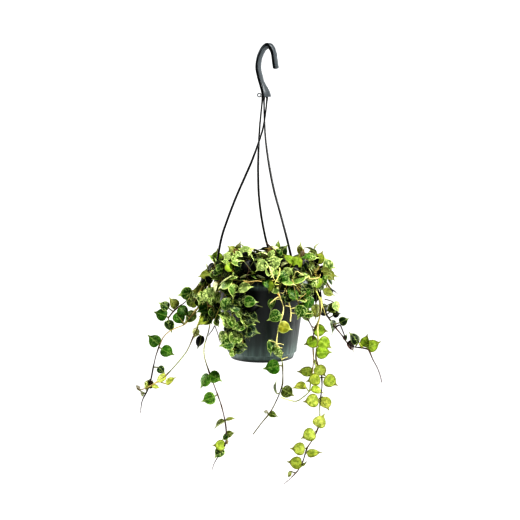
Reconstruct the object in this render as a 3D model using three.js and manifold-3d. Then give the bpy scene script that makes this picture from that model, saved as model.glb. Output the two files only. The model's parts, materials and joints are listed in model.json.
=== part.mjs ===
// A trailing hoya with small, thick, spade-shaped leaves, growing in a hanging nursery pot that
// is held by a moulded hanger: one hook with three strands that clip into the pot's rim.
// Millimetres, +Z up, +Y away from the viewer. The origin is the seat of the hook, where the
// inside of its crook bears on a rail.

import * as THREE from 'three';
import { mergeVertices } from 'three/addons/utils/BufferGeometryUtils.js';
import Module from 'manifold-3d';

const wasm = await Module();
wasm.setup();

const { Vector3 } = THREE;
const { degToRad, lerp, clamp, seededRandom } = THREE.MathUtils;

// Pot: heights are measured up from its foot.
const POT_AXIS_X = -9.4;
const POT_BASE_Z = -447;
const POT_HEIGHT = 120;
const RIM_RADIUS = 70;
const RIM_DEPTH = 13;
const WALL = 1.2;
const FLANGE = 1.4;
const WALL_TOP_RADIUS = 65;
const WALL_FOOT_RADIUS = 50.6;
const LEDGE_HEIGHT = 9.6;
const FOOT_TOP_RADIUS = 48.2;
const FOOT_RADIUS = 44.8;
const FOOT_RING_WIDTH = 3.3;
const FLOOR_HEIGHT = 3;
const EDGE_BEVEL = 1;
const POT_SEGMENTS = 36;
const DRAIN_COUNT = 6;
const DRAIN_RADIUS = 4;
const DRAIN_CIRCLE = 28;

// Hanger
const HOOK_RADIUS = 4;
const BOSS_RADIUS = 6.5;
const STRAND_RADIUS = 1.25;
const STRAND_STEPS = 14;
const CLIP_CIRCLE = 66.9;
const CLIP_ANGLES = [195, 315, 75];
const PIN_RADIUS = 1;
const PIN_HOLE_RADIUS = 1.3;
const BARB_RADIUS = 1.6;
const BARB_DEPTH = 2.6;
const STOP_RADIUS = 2.5;
const STOP_THICKNESS = 1.2;
const MERGE = 0.5;

// Soil and roots
const SOIL_HEIGHT = 109;
const SOIL_CROWN = 1.5;
const TOUCH = 0.3;
const ROOT_DEPTH = 10;
const COLLAR = 4;

// Stems and leaves
const STEM_BASE_RADIUS = 1.3;
const STEM_TIP_RADIUS = 0.6;
const STEM_TAPER = 0.8;
const STEM_STEP = 6;
const NODE_HALF = 0.9;
const NODE_SWELL = 1.15;
const LEAF_LENGTH = 18;
const LEAF_WIDTH_RATIO = 0.98;
const LEAF_THICKNESS = 2;
const PETIOLE = 4;
const PETIOLE_SPREAD = 0.25;
const CROWN_STEMS = 25;
const LEAF_GAP = 3.1;
const STEM_GAP = 3.1;
const OWN_STEM_GAP = 2.4;
const OWN_STALK_GAP = 1.8;
const POT_GAP = 1.5;
const BARE_POINTS = 4;
const SEED = 41;

const SOIL_TOP_Z = POT_BASE_Z + SOIL_HEIGHT;
const RIM_TOP_Z = POT_BASE_Z + POT_HEIGHT;
const VIEWER = new Vector3(0, -1, 0);
const UP = new Vector3(0, 0, 1);

// Solids

function signedVolume(geometry) {
  const place = geometry.attributes.position;
  const index = geometry.index;
  const [a, b, c] = [new Vector3(), new Vector3(), new Vector3()];
  let total = 0;
  for (let i = 0; i < index.count; i += 3) {
    a.fromBufferAttribute(place, index.getX(i));
    b.fromBufferAttribute(place, index.getX(i + 1));
    c.fromBufferAttribute(place, index.getX(i + 2));
    total += a.dot(b.cross(c));
  }
  return total / 6;
}

// Turns a closed geometry into a solid with its faces pointing out.
function solidOf(geometry) {
  geometry.deleteAttribute('normal');
  geometry.deleteAttribute('uv');
  const merged = mergeVertices(geometry, 1e-4);
  const triVerts = Uint32Array.from(merged.index.array);
  if (signedVolume(merged) < 0) {
    for (let i = 0; i < triVerts.length; i += 3) {
      [triVerts[i], triVerts[i + 1]] = [triVerts[i + 1], triVerts[i]];
    }
  }
  const vertProperties = Float32Array.from(merged.attributes.position.array);
  return new wasm.Manifold(new wasm.Mesh({ numProp: 3, vertProperties, triVerts }));
}

function solidFromTriangles(points, triangles) {
  const geometry = new THREE.BufferGeometry();
  const numbers = points.flatMap((p) => [p.x, p.y, p.z]);
  geometry.setAttribute('position', new THREE.Float32BufferAttribute(numbers, 3));
  geometry.setIndex(triangles.flat());
  return solidOf(geometry);
}

function meshOf(name, solid, material) {
  const { numProp, vertProperties, triVerts } = solid.getMesh();
  const geometry = new THREE.BufferGeometry();
  const place = new THREE.InterleavedBuffer(vertProperties, numProp);
  geometry.setAttribute('position', new THREE.InterleavedBufferAttribute(place, 3, 0));
  geometry.setIndex(new THREE.BufferAttribute(triVerts, 1));
  const mesh = new THREE.Mesh(geometry.toNonIndexed(), material);
  mesh.geometry.computeVertexNormals();
  mesh.name = name;
  return mesh;
}

function joined(solids) {
  return solids.reduce((whole, solid) => whole.add(solid));
}

// A solid of revolution about the pot's axis from [radius, height above the foot] points.
function turned(profile, segments = POT_SEGMENTS) {
  const points = profile.map(([radius, height]) => new THREE.Vector2(radius, height));
  const geometry = new THREE.LatheGeometry(points, segments);
  geometry.rotateX(Math.PI / 2);
  geometry.translate(POT_AXIS_X, 0, POT_BASE_Z);
  return solidOf(geometry);
}

function post(x, y, bottom, top, radius, sides, topRadius = radius) {
  const geometry = new THREE.CylinderGeometry(topRadius, radius, top - bottom, sides);
  geometry.rotateX(Math.PI / 2);
  geometry.translate(x, y, (bottom + top) / 2);
  return solidOf(geometry);
}

// A closed round tube through points, one radius at each. The section is carried along without
// twist, starting with a corner towards +X or, on a level start, upwards.
function tube(points, radii, sides) {
  const tangents = points.map((p, i) => {
    const before = points[Math.max(i - 1, 0)];
    const after = points[Math.min(i + 1, points.length - 1)];
    return after.clone().sub(before).normalize();
  });
  const start = Math.abs(tangents[0].z) > 0.7 ? new Vector3(1, 0, 0) : UP.clone();
  const corner = start.addScaledVector(tangents[0], -start.dot(tangents[0])).normalize();
  const vertices = [];
  points.forEach((p, i) => {
    corner.addScaledVector(tangents[i], -corner.dot(tangents[i])).normalize();
    const across = tangents[i].clone().cross(corner);
    for (let k = 0; k < sides; k += 1) {
      const turn = (2 * Math.PI * k) / sides;
      vertices.push(p.clone()
        .addScaledVector(corner, Math.cos(turn) * radii[i])
        .addScaledVector(across, Math.sin(turn) * radii[i]));
    }
  });
  const triangles = [];
  for (let i = 0; i + 1 < points.length; i += 1) {
    for (let k = 0; k < sides; k += 1) {
      const a = i * sides + k;
      const b = i * sides + ((k + 1) % sides);
      triangles.push([a, b, b + sides], [a, b + sides, a + sides]);
    }
  }
  const last = (points.length - 1) * sides;
  for (let k = 1; k + 1 < sides; k += 1) {
    triangles.push([0, k + 1, k], [last, last + k, last + k + 1]);
  }
  return solidFromTriangles(vertices, triangles);
}

function smoothLine(points, steps) {
  return new THREE.CatmullRomCurve3(points, false, 'centripetal').getSpacedPoints(steps);
}

const at = ([x, y, z]) => new Vector3(x, y, z);

// Where things already stand: a grid of sample points, so that leaves and stems keep clear.

const CELL = 4;
const taken = new Map();
const cellKey = (x, y, z) => `${x},${y},${z}`;

function take(point, kind, owner) {
  const [x, y, z] = point.toArray().map((v) => Math.floor(v / CELL));
  const key = cellKey(x, y, z);
  if (!taken.has(key)) taken.set(key, []);
  taken.get(key).push({ point, kind, owner });
}

function near(point) {
  const [x, y, z] = point.toArray().map((v) => Math.floor(v / CELL));
  const found = [];
  for (let i = -1; i <= 1; i += 1) {
    for (let j = -1; j <= 1; j += 1) {
      for (let k = -1; k <= 1; k += 1) {
        found.push(...(taken.get(cellKey(x + i, y + j, z + k)) ?? []));
      }
    }
  }
  return found;
}

function innerRadius(height) {
  const rise = clamp((height - LEDGE_HEIGHT) / (POT_HEIGHT - LEDGE_HEIGHT), 0, 1);
  return lerp(WALL_FOOT_RADIUS, WALL_TOP_RADIUS, rise) - WALL;
}

function outerRadius(height) {
  if (height > POT_HEIGHT - RIM_DEPTH - POT_GAP) return RIM_RADIUS;
  return innerRadius(height) + WALL;
}

// True where a point is clear of the pot's wall and of the soil.
function clearOfPot(point, gap = POT_GAP) {
  const height = point.z - POT_BASE_Z;
  const radius = Math.hypot(point.x - POT_AXIS_X, point.y);
  if (height > POT_HEIGHT + gap || height < -gap) return true;
  if (radius > outerRadius(height) + gap) return true;
  return height > SOIL_HEIGHT + SOIL_CROWN + gap && radius < innerRadius(height) - gap;
}

// Pot: one moulded wall with a foot ring, a ledge above it, a turned-down rim and a floor with
// drain holes. Three small holes in the rim take the hanger's pins.

function rimPoint(angle) {
  const turn = degToRad(angle);
  return [POT_AXIS_X + CLIP_CIRCLE * Math.cos(turn), CLIP_CIRCLE * Math.sin(turn)];
}

function makePot() {
  const skirtInside = RIM_RADIUS - WALL;
  const flangeUnderside = POT_HEIGHT - FLANGE;
  const wallAtSkirt = innerRadius(flangeUnderside) + WALL;
  const body = turned([
    [0, FLOOR_HEIGHT],
    [FOOT_RADIUS - FOOT_RING_WIDTH - 2 * EDGE_BEVEL, FLOOR_HEIGHT],
    [FOOT_RADIUS - FOOT_RING_WIDTH, 0],
    [FOOT_RADIUS, 0],
    [FOOT_RADIUS + EDGE_BEVEL, EDGE_BEVEL],
    [FOOT_TOP_RADIUS, LEDGE_HEIGHT - EDGE_BEVEL],
    [WALL_FOOT_RADIUS, LEDGE_HEIGHT],
    [wallAtSkirt, flangeUnderside],
    [skirtInside, flangeUnderside],
    [skirtInside, POT_HEIGHT - RIM_DEPTH],
    [RIM_RADIUS, POT_HEIGHT - RIM_DEPTH],
    [RIM_RADIUS, POT_HEIGHT - EDGE_BEVEL],
    [RIM_RADIUS - EDGE_BEVEL, POT_HEIGHT],
    [innerRadius(POT_HEIGHT) + EDGE_BEVEL, POT_HEIGHT],
    [innerRadius(POT_HEIGHT - EDGE_BEVEL), POT_HEIGHT - EDGE_BEVEL],
    [innerRadius(LEDGE_HEIGHT + WALL), LEDGE_HEIGHT + WALL],
    [FOOT_TOP_RADIUS - WALL, LEDGE_HEIGHT],
    [FOOT_RADIUS, FLOOR_HEIGHT + WALL],
    [0, FLOOR_HEIGHT + WALL],
  ]);
  const cutters = CLIP_ANGLES.map((angle) => {
    const [x, y] = rimPoint(angle);
    return post(x, y, RIM_TOP_Z - 2 * FLANGE, RIM_TOP_Z + FLANGE, PIN_HOLE_RADIUS, 8);
  });
  for (let k = 0; k < DRAIN_COUNT; k += 1) {
    const turn = (2 * Math.PI * k) / DRAIN_COUNT;
    const x = POT_AXIS_X + DRAIN_CIRCLE * Math.cos(turn);
    const y = DRAIN_CIRCLE * Math.sin(turn);
    cutters.push(post(x, y, POT_BASE_Z, POT_BASE_Z + 2 * FLOOR_HEIGHT, DRAIN_RADIUS, 10));
  }
  return cutters.reduce((pot, cutter) => pot.subtract(cutter), body);
}

// Hanger: the hook's crook and shank, its boss with a small label eye, and the strands. Each
// strand ends in a stop disc above the rim, a pin through it and a barb beneath it.

const HOOK_LINE = [
  [10.8, 0, -28.3], [9.9, 0, -14], [7.6, 0, -2.7], [0, 0, 4], [-8.7, 0, -8.7], [-14.9, 0, -26.1],
  [-13.1, 0, -37.2], [-6.5, 0, -55.1], [-5.2, 0, -63],
];
const HOOK_STEPS = 20;
const BOSS_X = -5.6;
const BOSS_TOP_Z = -62;
const BOSS_BOTTOM_Z = -69.5;
const EYE_X = -13.5;
const EYE_Z = -67;
const EYE_RADIUS = 2.2;
const EYE_WIRE_RADIUS = 0.8;

const STRAND_LINES = [
  [[-1.6, -1.1, -67], [-1.5, -1.1, -76], [-7.2, -2.4, -110], [-13.9, -3.9, -133],
    [-23.8, -6.1, -160], [-33.8, -8.4, -183], [-47, -11.3, -213], [-58.6, -13.9, -243],
    [-67, -15.8, -268], [-72.6, -17, -296], [-74, -17.3, -312]],
  [[-6.7, 4, -67], [-6.5, 3.6, -76], [-5.8, 0.8, -104], [-3.9, -4.8, -133], [1, -14.2, -168],
    [7.6, -24.3, -201], [15.2, -32.3, -229], [22.5, -39.2, -256], [28.4, -43.8, -279],
    [32.9, -46.4, -299], [36.8, -47.2, -314]],
  [[-8.5, -2.9, -67], [-9.2, -2.4, -76], [-12.6, 2.5, -111], [-14.4, 13, -146],
    [-15, 25.5, -179], [-13.9, 39.2, -213], [-10.5, 49.8, -243], [-6.5, 57, -266],
    [-2, 61.6, -286], [5.4, 64.1, -310]],
];

function strandPoints(index) {
  const [x, y] = rimPoint(CLIP_ANGLES[index]);
  const end = new Vector3(x, y, RIM_TOP_Z + TOUCH + STOP_THICKNESS / 2);
  return smoothLine([...STRAND_LINES[index].map(at), end], STRAND_STEPS);
}

function makeHanger() {
  const hookPoints = smoothLine(HOOK_LINE.map(at), HOOK_STEPS);
  const hookRadii = hookPoints.map(() => HOOK_RADIUS);
  hookRadii[0] = HOOK_RADIUS / 2;
  const hook = tube(hookPoints, hookRadii, 8);
  const boss = post(BOSS_X, 0, BOSS_BOTTOM_Z, BOSS_TOP_Z, BOSS_RADIUS, 12, HOOK_RADIUS);
  const ring = new THREE.TorusGeometry(EYE_RADIUS, EYE_WIRE_RADIUS, 5, 10);
  ring.rotateX(Math.PI / 2);
  ring.translate(EYE_X, 0, EYE_Z);
  const pieces = [hook, boss, solidOf(ring)];
  CLIP_ANGLES.forEach((angle, index) => {
    const [x, y] = rimPoint(angle);
    const points = strandPoints(index);
    const stopBottom = RIM_TOP_Z + TOUCH;
    const barbTop = RIM_TOP_Z - FLANGE - TOUCH;
    pieces.push(
      tube(points, points.map(() => STRAND_RADIUS), 6),
      post(x, y, stopBottom, stopBottom + STOP_THICKNESS, STOP_RADIUS, 8),
      post(x, y, barbTop - MERGE, stopBottom + MERGE, PIN_RADIUS, 6),
      post(x, y, barbTop - BARB_DEPTH, barbTop, PIN_RADIUS / 2, 6, BARB_RADIUS),
    );
  });
  return joined(pieces);
}

// Leaves: each blade is a thick, domed spade with a drawn-out tip, on a short wedge of a petiole
// that grows out of the stem. Outline points are [along, half width, height] for a blade
// of length and half width one, on its left edge from the base to just before the tip.

const OUTLINE = [[0, 0.26, 0], [0.13, 0.78, -0.04], [0.45, 1, -0.09], [0.79, 0.62, -0.09]];
const TIP = [1.08, 0, -0.17];
const MIDDLE = [0.42, 0, 0.04];

function bladePoint(leaf, [along, half, height], side = 1) {
  return leaf.base.clone()
    .addScaledVector(leaf.forward, along * leaf.length)
    .addScaledVector(leaf.left, side * half * leaf.length * LEAF_WIDTH_RATIO * 0.5)
    .addScaledVector(leaf.normal, height * leaf.length);
}

function bladeRing(leaf) {
  return [
    ...OUTLINE.map((p) => bladePoint(leaf, p, -1)),
    bladePoint(leaf, TIP),
    ...OUTLINE.map((p) => bladePoint(leaf, p)).reverse(),
  ];
}

// Adds a blade and its petiole to a mesh in place of one side of a stem's node, given by its four
// corners in turn. The blade's rim and the petiole's two edges are shared by both its faces.
function growBlade(leaf, corners, points, triangles) {
  const top = leaf.base.clone().sub(leaf.root).cross(leaf.left).normalize();
  const across = (i, way) => points[corners[i % 4]].dot(way);
  const fit = (i) => across(i + 2, leaf.left) - across(i, leaf.left)
    + across(i + 3, top) - across(i + 1, top);
  const right = [0, 1, 2, 3].reduce((best, i) => (fit(i) > fit(best) ? i : best));
  const [rightCorner, lowCorner, leftCorner, highCorner] = [0, 1, 2, 3]
    .map((i) => corners[(right + i) % 4]);
  const half = (LEAF_THICKNESS / 2) * Math.sqrt(leaf.length / LEAF_LENGTH);
  const middle = bladePoint(leaf, MIDDLE);
  const over = points.push(middle.clone().addScaledVector(leaf.normal, half)) - 1;
  const under = points.push(middle.clone().addScaledVector(leaf.normal, -half)) - 1;
  const rim = bladeRing(leaf).map((p) => points.push(p) - 1);
  const belt = [rightCorner, ...rim, leftCorner];
  const upper = [...belt, highCorner];
  const lower = [...belt, lowCorner];
  upper.forEach((v, i) => triangles.push([over, v, upper[(i + 1) % upper.length]]));
  lower.forEach((v, i) => triangles.push([under, lower[(i + 1) % lower.length], v]));
}

// Points spread over a blade, about 2.3 mm apart on a full-size leaf.
function bladeSamples(leaf) {
  const middle = bladePoint(leaf, MIDDLE);
  const ring = [bladePoint(leaf, [0, 0, 0]), ...bladeRing(leaf)];
  const samples = [middle];
  ring.forEach((p, i) => {
    const next = ring[(i + 1) % ring.length];
    for (const rim of [p, p.clone().lerp(next, 0.5)]) {
      for (const share of [0.25, 0.5, 0.75, 1]) samples.push(middle.clone().lerp(rim, share));
    }
  });
  return samples;
}

function bladeFits(owner, samples) {
  return samples.every((sample) => clearOfPot(sample) && near(sample).every((other) => {
    const distance = other.point.distanceTo(sample);
    if (other.kind === 'leaf') return distance > LEAF_GAP;
    return distance > (other.owner === owner ? OWN_STEM_GAP : STEM_GAP);
  }));
}

// A petiole keeps clear of other plants all along, and of its own stem where it meets its blade.
function stalkFits(owner, samples) {
  const last = samples.length - 1;
  return samples.every((sample, i) => clearOfPot(sample) && near(sample).every((other) => {
    const distance = other.point.distanceTo(sample);
    return other.owner === owner ? i < last || distance > OWN_STALK_GAP : distance > STEM_GAP;
  }));
}

const MOST_BEND = degToRad(66);

// Stems: a stem has four sides, and its points lie STEM_STEP apart. Each of them may be a node,
// where up to four leaves grow, one out of each side.

function stemRadius(vine, index) {
  const share = Math.pow(index / (vine.points.length - 1), STEM_TAPER);
  return lerp(STEM_BASE_RADIUS, STEM_TIP_RADIUS, share);
}

function stemLine(root, route) {
  const foot = new Vector3(root[0], root[1], SOIL_TOP_Z - ROOT_DEPTH);
  const collar = new Vector3(root[0], root[1], SOIL_TOP_Z + COLLAR);
  const curve = new THREE.CatmullRomCurve3([collar, ...route], false, 'centripetal');
  const steps = Math.round(curve.getLength() / STEM_STEP);
  return [foot, ...curve.getSpacedPoints(steps)];
}

// The directions in which a stem's sides face at each of its points, carried along without twist.
function stemFrames(points) {
  const corner = new Vector3(1, 0, 0);
  return points.map((p, i) => {
    const before = points[i <= 1 ? 0 : i - 1];
    const after = points[i === 0 ? 1 : Math.min(i + 1, points.length - 1)];
    const tangent = i <= 1 ? UP.clone() : after.clone().sub(before).normalize();
    corner.addScaledVector(tangent, -corner.dot(tangent)).normalize();
    const across = tangent.clone().cross(corner);
    const sides = [across, corner.clone().negate(), across.clone().negate(), corner.clone()];
    return { tangent, sides };
  });
}

function lineSamples(points) {
  const samples = [points[points.length - 1]];
  for (let i = 0; i + 1 < points.length; i += 1) {
    const parts = Math.ceil(points[i].distanceTo(points[i + 1]) / 2);
    for (let k = 0; k < parts; k += 1) samples.push(points[i].clone().lerp(points[i + 1], k / parts));
  }
  return samples;
}

const vines = [];

function addVine(name, points, colour) {
  const vine = { name, points, colour, frames: stemFrames(points), leaves: [] };
  lineSamples(points).forEach((point) => take(point, 'stem', name));
  vines.push(vine);
  return vine;
}

function lineIsClear(points) {
  return lineSamples(points.slice(1)).every((point) => {
    const open = clearOfPot(point, POT_GAP) || point.z < SOIL_TOP_Z + COLLAR + 1;
    return open && near(point).every((other) => other.point.distanceTo(point) > STEM_GAP);
  });
}

// The free side of a stem's node that faces most towards a wished direction.
function freeSide(vine, index, wish) {
  const used = vine.leaves.filter((leaf) => leaf.index === index).map((leaf) => leaf.side);
  const facing = (side) => vine.frames[index].sides[side].dot(wish);
  const free = [0, 1, 2, 3].filter((side) => !used.includes(side));
  return free.sort((a, b) => facing(b) - facing(a))[0];
}

// Adds a leaf with its blade's base and directions given, if its place is free.
function addLeaf(vine, index, base, length, pointing, facing) {
  const wish = base.clone().sub(vine.points[index]);
  const side = freeSide(vine, index, wish);
  if (side === undefined) return false;
  const way = vine.frames[index].sides[side];
  const root = vine.points[index].clone().addScaledVector(way, stemRadius(vine, index) * 0.7);
  const petiole = base.clone().sub(root);
  if (petiole.angleTo(way) > MOST_BEND) return false;
  const forward = pointing.clone().normalize();
  const normal = facing.clone().addScaledVector(forward, -facing.dot(forward)).normalize();
  const left = normal.clone().cross(forward);
  const reach = petiole.dot(forward) + MIDDLE[0] * length;
  if (Math.abs(petiole.dot(left)) > PETIOLE_SPREAD * reach - STEM_TIP_RADIUS) return false;
  const leaf = { index, side, root, base, length, forward, normal, left };
  const blade = bladeSamples(leaf);
  const stalk = [0.2, 0.5, 0.8].map((share) => root.clone().lerp(base, share));
  if (!bladeFits(vine.name, blade) || !stalkFits(vine.name, stalk)) return false;
  [...blade, ...stalk].forEach((point) => take(point, 'leaf', vine.name));
  vine.leaves.push(leaf);
  return true;
}

// Traced vines: those that show in front of and beside the pot. Each has its root in the soil,
// its route, and its leaves as [x, z, the angle its tip points to, length].

const GREEN = 0x4c7a2a;
const LIME = 0x93b232;

const TRACED = [
  {
    name: 'vine_left_long', colour: GREEN, root: [-45, -4],
    route: [[-56, -5, -317], [-72, -6, -317], [-88, -10, -337], [-99, -14, -368], [-111, -15, -383],
      [-121, -16, -396], [-138, -16, -403], [-151, -16, -413], [-162, -15, -438], [-166, -14, -453],
      [-174, -12, -488], [-185, -10, -512], [-187, -10, -528]],
    leaves: [[-125, -376, 200, 16], [-110, -385, 250, 16], [-129, -385, 215, 15],
      [-166, -420, 130, 19], [-147, -436, -50, 18], [-156, -463, -20, 12], [-179, -467, 200, 12],
      [-174, -486, 240, 16], [-190, -490, 190, 8], [-185, -499, 150, 8]],
  },
  {
    name: 'vine_left_short', colour: GREEN, root: [-42, 12],
    route: [[-55, 14, -319], [-74, 14, -317], [-97, 13, -335], [-118, 12, -364], [-132, 12, -375],
      [-137, 12, -379], [-147, 12, -391]],
    leaves: [[-120, -356, 180, 18], [-141, -370, 150, 13], [-152, -375, 165, 13],
      [-158, -388, 165, 15], [-145, -402, -70, 13]],
  },
  {
    name: 'vine_left_low', colour: GREEN, root: [-42, -24],
    route: [[-54, -31, -318], [-70, -38, -316], [-89, -41, -345], [-99, -41, -387], [-109, -42, -413],
      [-116, -42, -429], [-127, -40, -444], [-139, -38, -458], [-157, -38, -475], [-168, -38, -480],
      [-181, -38, -488], [-189, -38, -485]],
    leaves: [[-104, -403, 210, 13], [-97, -420, -60, 15], [-151, -457, 120, 12], [-142, -476, -70, 15],
      [-154, -471, 200, 12], [-169, -484, 200, 10]],
  },
  {
    name: 'vine_left_front', colour: GREEN, root: [-36, -34],
    route: [[-47, -41, -319], [-61, -51, -317], [-77, -50, -345], [-82, -42, -380], [-86, -38, -403],
      [-91, -37, -420], [-93, -37, -432], [-90, -38, -447], [-79, -38, -479], [-67, -38, -514],
      [-61, -38, -548], [-63, -38, -570], [-77, -36, -593], [-82, -36, -607]],
    leaves: [[-76, -470, -35, 19], [-92, -473, 230, 16], [-86, -501, 215, 21], [-51, -529, 35, 12],
      [-73, -542, 215, 13], [-54, -552, -60, 15], [-72, -566, 205, 16], [-70, -586, 230, 18],
      [-66, -505, 100, 9]],
  },
  {
    name: 'vine_front_left', colour: GREEN, root: [-27, -44],
    route: [[-33, -54, -319], [-39, -66, -316], [-44, -77, -326], [-50, -80, -351], [-51, -77, -377],
      [-54, -74, -402], [-50, -70, -428]],
    leaves: [[-52, -338, 190, 19], [-58, -357, 210, 19], [-46, -362, -60, 18], [-60, -379, 225, 19],
      [-44, -384, -40, 18], [-61, -400, 200, 18], [-44, -408, -60, 18], [-62, -420, 230, 17],
      [-47, -432, -80, 17]],
  },
  {
    name: 'vine_front_middle', colour: GREEN, root: [-14, -42],
    route: [[-20, -54, -320], [-26, -68, -316], [-32, -78, -326], [-35, -80, -351], [-35, -78, -377],
      [-37, -75, -402], [-36, -72, -422]],
    leaves: [[-38, -337, 250, 18], [-24, -341, -20, 18], [-27, -358, -10, 21], [-42, -350, 200, 16],
      [-26, -376, -30, 20], [-43, -372, 210, 16], [-29, -395, -20, 19], [-45, -393, 200, 16],
      [-28, -414, -50, 18], [-43, -420, 230, 17]],
  },
  {
    name: 'vine_front_tan', colour: GREEN, root: [3, -40],
    route: [[7, -54, -319], [10, -68, -315], [12, -78, -322], [13, -81, -340], [17, -80, -351],
      [21, -79, -365], [18, -78, -376], [14, -76, -392], [11, -73, -414], [18, -70, -435],
      [20, -68, -458], [19, -66, -476], [10, -64, -500], [1, -62, -517], [-10, -60, -531],
      [-22, -58, -548]],
    leaves: [[8, -376, 200, 18], [24, -392, -15, 16], [1, -417, 215, 18], [15, -425, 250, 14],
      [4, -449, 195, 21], [30, -485, -45, 19], [9, -477, 210, 13], [8, -524, -20, 10],
      [2, -345, 200, 16]],
  },
  {
    name: 'vine_front_tan_short', colour: GREEN, root: [17, -38],
    route: [[22, -52, -320], [24, -66, -315], [25, -77, -322], [25, -80, -344], [29, -80, -357],
      [31, -78, -370], [30, -76, -382]],
    leaves: [[36, -334, -20, 18], [15, -333, 220, 16], [40, -354, -30, 18], [43, -372, -25, 19],
      [23, -391, -100, 13]],
  },
  {
    name: 'vine_right_yellow', colour: LIME, root: [30, -14],
    route: [[41, -20, -321], [53, -29, -317], [62, -37, -324], [68, -42, -334], [72, -45, -346],
      [75, -43, -357], [74, -38, -377], [69, -32, -395], [64, -28, -414], [65, -25, -449],
      [61, -24, -479], [59, -24, -493], [53, -24, -499], [42, -25, -507], [28, -26, -505],
      [18, -27, -501]],
    leaves: [[55, -420, 215, 18], [57, -397, 200, 15], [53, -463, 190, 19], [46, -485, 185, 18],
      [73, -488, -30, 15], [74, -435, -20, 13], [63, -372, 215, 16], [86, -366, -15, 16]],
  },
  {
    name: 'vine_right_lime', colour: LIME, root: [30, -32],
    route: [[41, -40, -321], [51, -47, -317], [62, -54, -332], [70, -57, -348], [73, -58, -362],
      [72, -58, -380], [69, -56, -398], [70, -56, -412], [67, -56, -433], [69, -56, -447],
      [74, -56, -457], [76, -56, -474], [75, -55, -489], [73, -55, -506], [73, -54, -529],
      [70, -54, -542], [63, -53, -558], [56, -53, -568], [50, -52, -587], [44, -52, -600],
      [34, -52, -612], [22, -52, -623]],
    leaves: [[80, -397, -20, 18], [84, -418, -35, 21], [72, -427, -100, 21], [56, -441, 200, 16],
      [84, -452, -25, 18], [64, -469, 195, 18], [89, -470, -35, 21], [61, -500, 195, 21],
      [83, -504, -30, 19], [79, -528, 50, 21], [58, -547, 200, 19], [42, -572, 190, 21],
      [67, -577, -25, 16], [37, -593, 195, 19], [29, -613, 230, 12], [62, -358, 200, 16],
      [84, -372, -20, 16]],
  },
  {
    name: 'vine_right_dark', colour: GREEN, root: [32, 4],
    route: [[46, 3, -321], [62, 2, -317], [73, 2, -338], [79, 3, -368], [84, 4, -383], [92, 5, -395],
      [99, 5, -405], [108, 6, -416], [121, 6, -432], [134, 6, -434], [145, 6, -436], [155, 6, -455],
      [162, 6, -468], [167, 6, -486]],
    leaves: [[96, -374, 40, 18], [101, -388, -10, 16], [112, -398, 20, 18], [90, -406, 230, 18],
      [105, -428, 235, 12], [127, -418, 115, 18], [136, -446, -80, 10], [148, -421, 110, 19],
      [163, -432, 20, 18]],
  },
];

// The point of a stem, past its collar, that lies nearest to a place as seen from the front.
function nearestIndex(vine, place) {
  const apart = (p) => Math.hypot(p.x - place.x, p.z - place.z);
  let best = BARE_POINTS;
  vine.points.forEach((p, i) => {
    if (i > BARE_POINTS && apart(p) < apart(vine.points[best])) best = i;
  });
  return best;
}

const SWINGS = [0, 0, 10, -10, 20, -20, 30, -30].map(degToRad);
const PUSHES = [-2.5, 2.5, -4, 4, -6, 6];
const LEAST_BACK = 2.5;
const MOST_ASIDE = 1.5;

function placeTraced(vine, [x, z, angle, length]) {
  for (let attempt = 0; attempt < 30; attempt += 1) {
    const swing = degToRad(angle) + SWINGS[attempt % SWINGS.length];
    const flat = new Vector3(Math.cos(swing), 0, Math.sin(swing));
    const aside = new Vector3(-flat.z, 0, flat.x);
    const base = new Vector3(x, 0, z).addScaledVector(flat, -MIDDLE[0] * length);
    const index = nearestIndex(vine, base.clone().addScaledVector(flat, -PETIOLE));
    const root = vine.points[index];
    const step = base.sub(root);
    const stalk = flat.clone().multiplyScalar(Math.max(LEAST_BACK, step.dot(flat)))
      .addScaledVector(aside, clamp(step.dot(aside), -MOST_ASIDE, MOST_ASIDE))
      .addScaledVector(VIEWER, PUSHES[(attempt + vine.leaves.length) % PUSHES.length]);
    const roll = (seededRandom() - 0.5) * 0.8;
    const pointing = flat.clone().addScaledVector(VIEWER, (seededRandom() - 0.5) * 0.6);
    const facing = VIEWER.clone().addScaledVector(UP, 0.35 + roll * 0.3);
    facing.x += roll * 0.5;
    if (addLeaf(vine, index, stalk.add(root), length, pointing, facing)) return;
  }
}

// Stems that follow a rule: those of the crown fill the mound above the pot, and those at the
// back hang behind it.

const BACK_VINES = [
  { angle: 48, reach: 14, drop: 62 }, { angle: 70, reach: 12, drop: 96 },
  { angle: 96, reach: 12, drop: 84 }, { angle: 122, reach: 14, drop: 70 },
];

function polar(radius, angle, z) {
  const turn = degToRad(angle);
  return new Vector3(POT_AXIS_X + radius * Math.cos(turn), radius * Math.sin(turn), z);
}

function addBackVine({ angle, reach, drop }, index) {
  const root = polar(46, angle, 0);
  const edge = RIM_RADIUS + reach;
  const route = [polar(56, angle, RIM_TOP_Z + 8), polar(RIM_RADIUS, angle, RIM_TOP_Z + 11),
    polar(edge - 2, angle, RIM_TOP_Z - 6)];
  for (let fall = 24; fall <= drop; fall += 18) {
    const sway = 3 * Math.sin(fall / 14 + index);
    route.push(polar(edge, angle + sway, RIM_TOP_Z - fall));
  }
  return addVine(`vine_back_${index + 1}`, stemLine([root.x, root.y], route), GREEN);
}

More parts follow.
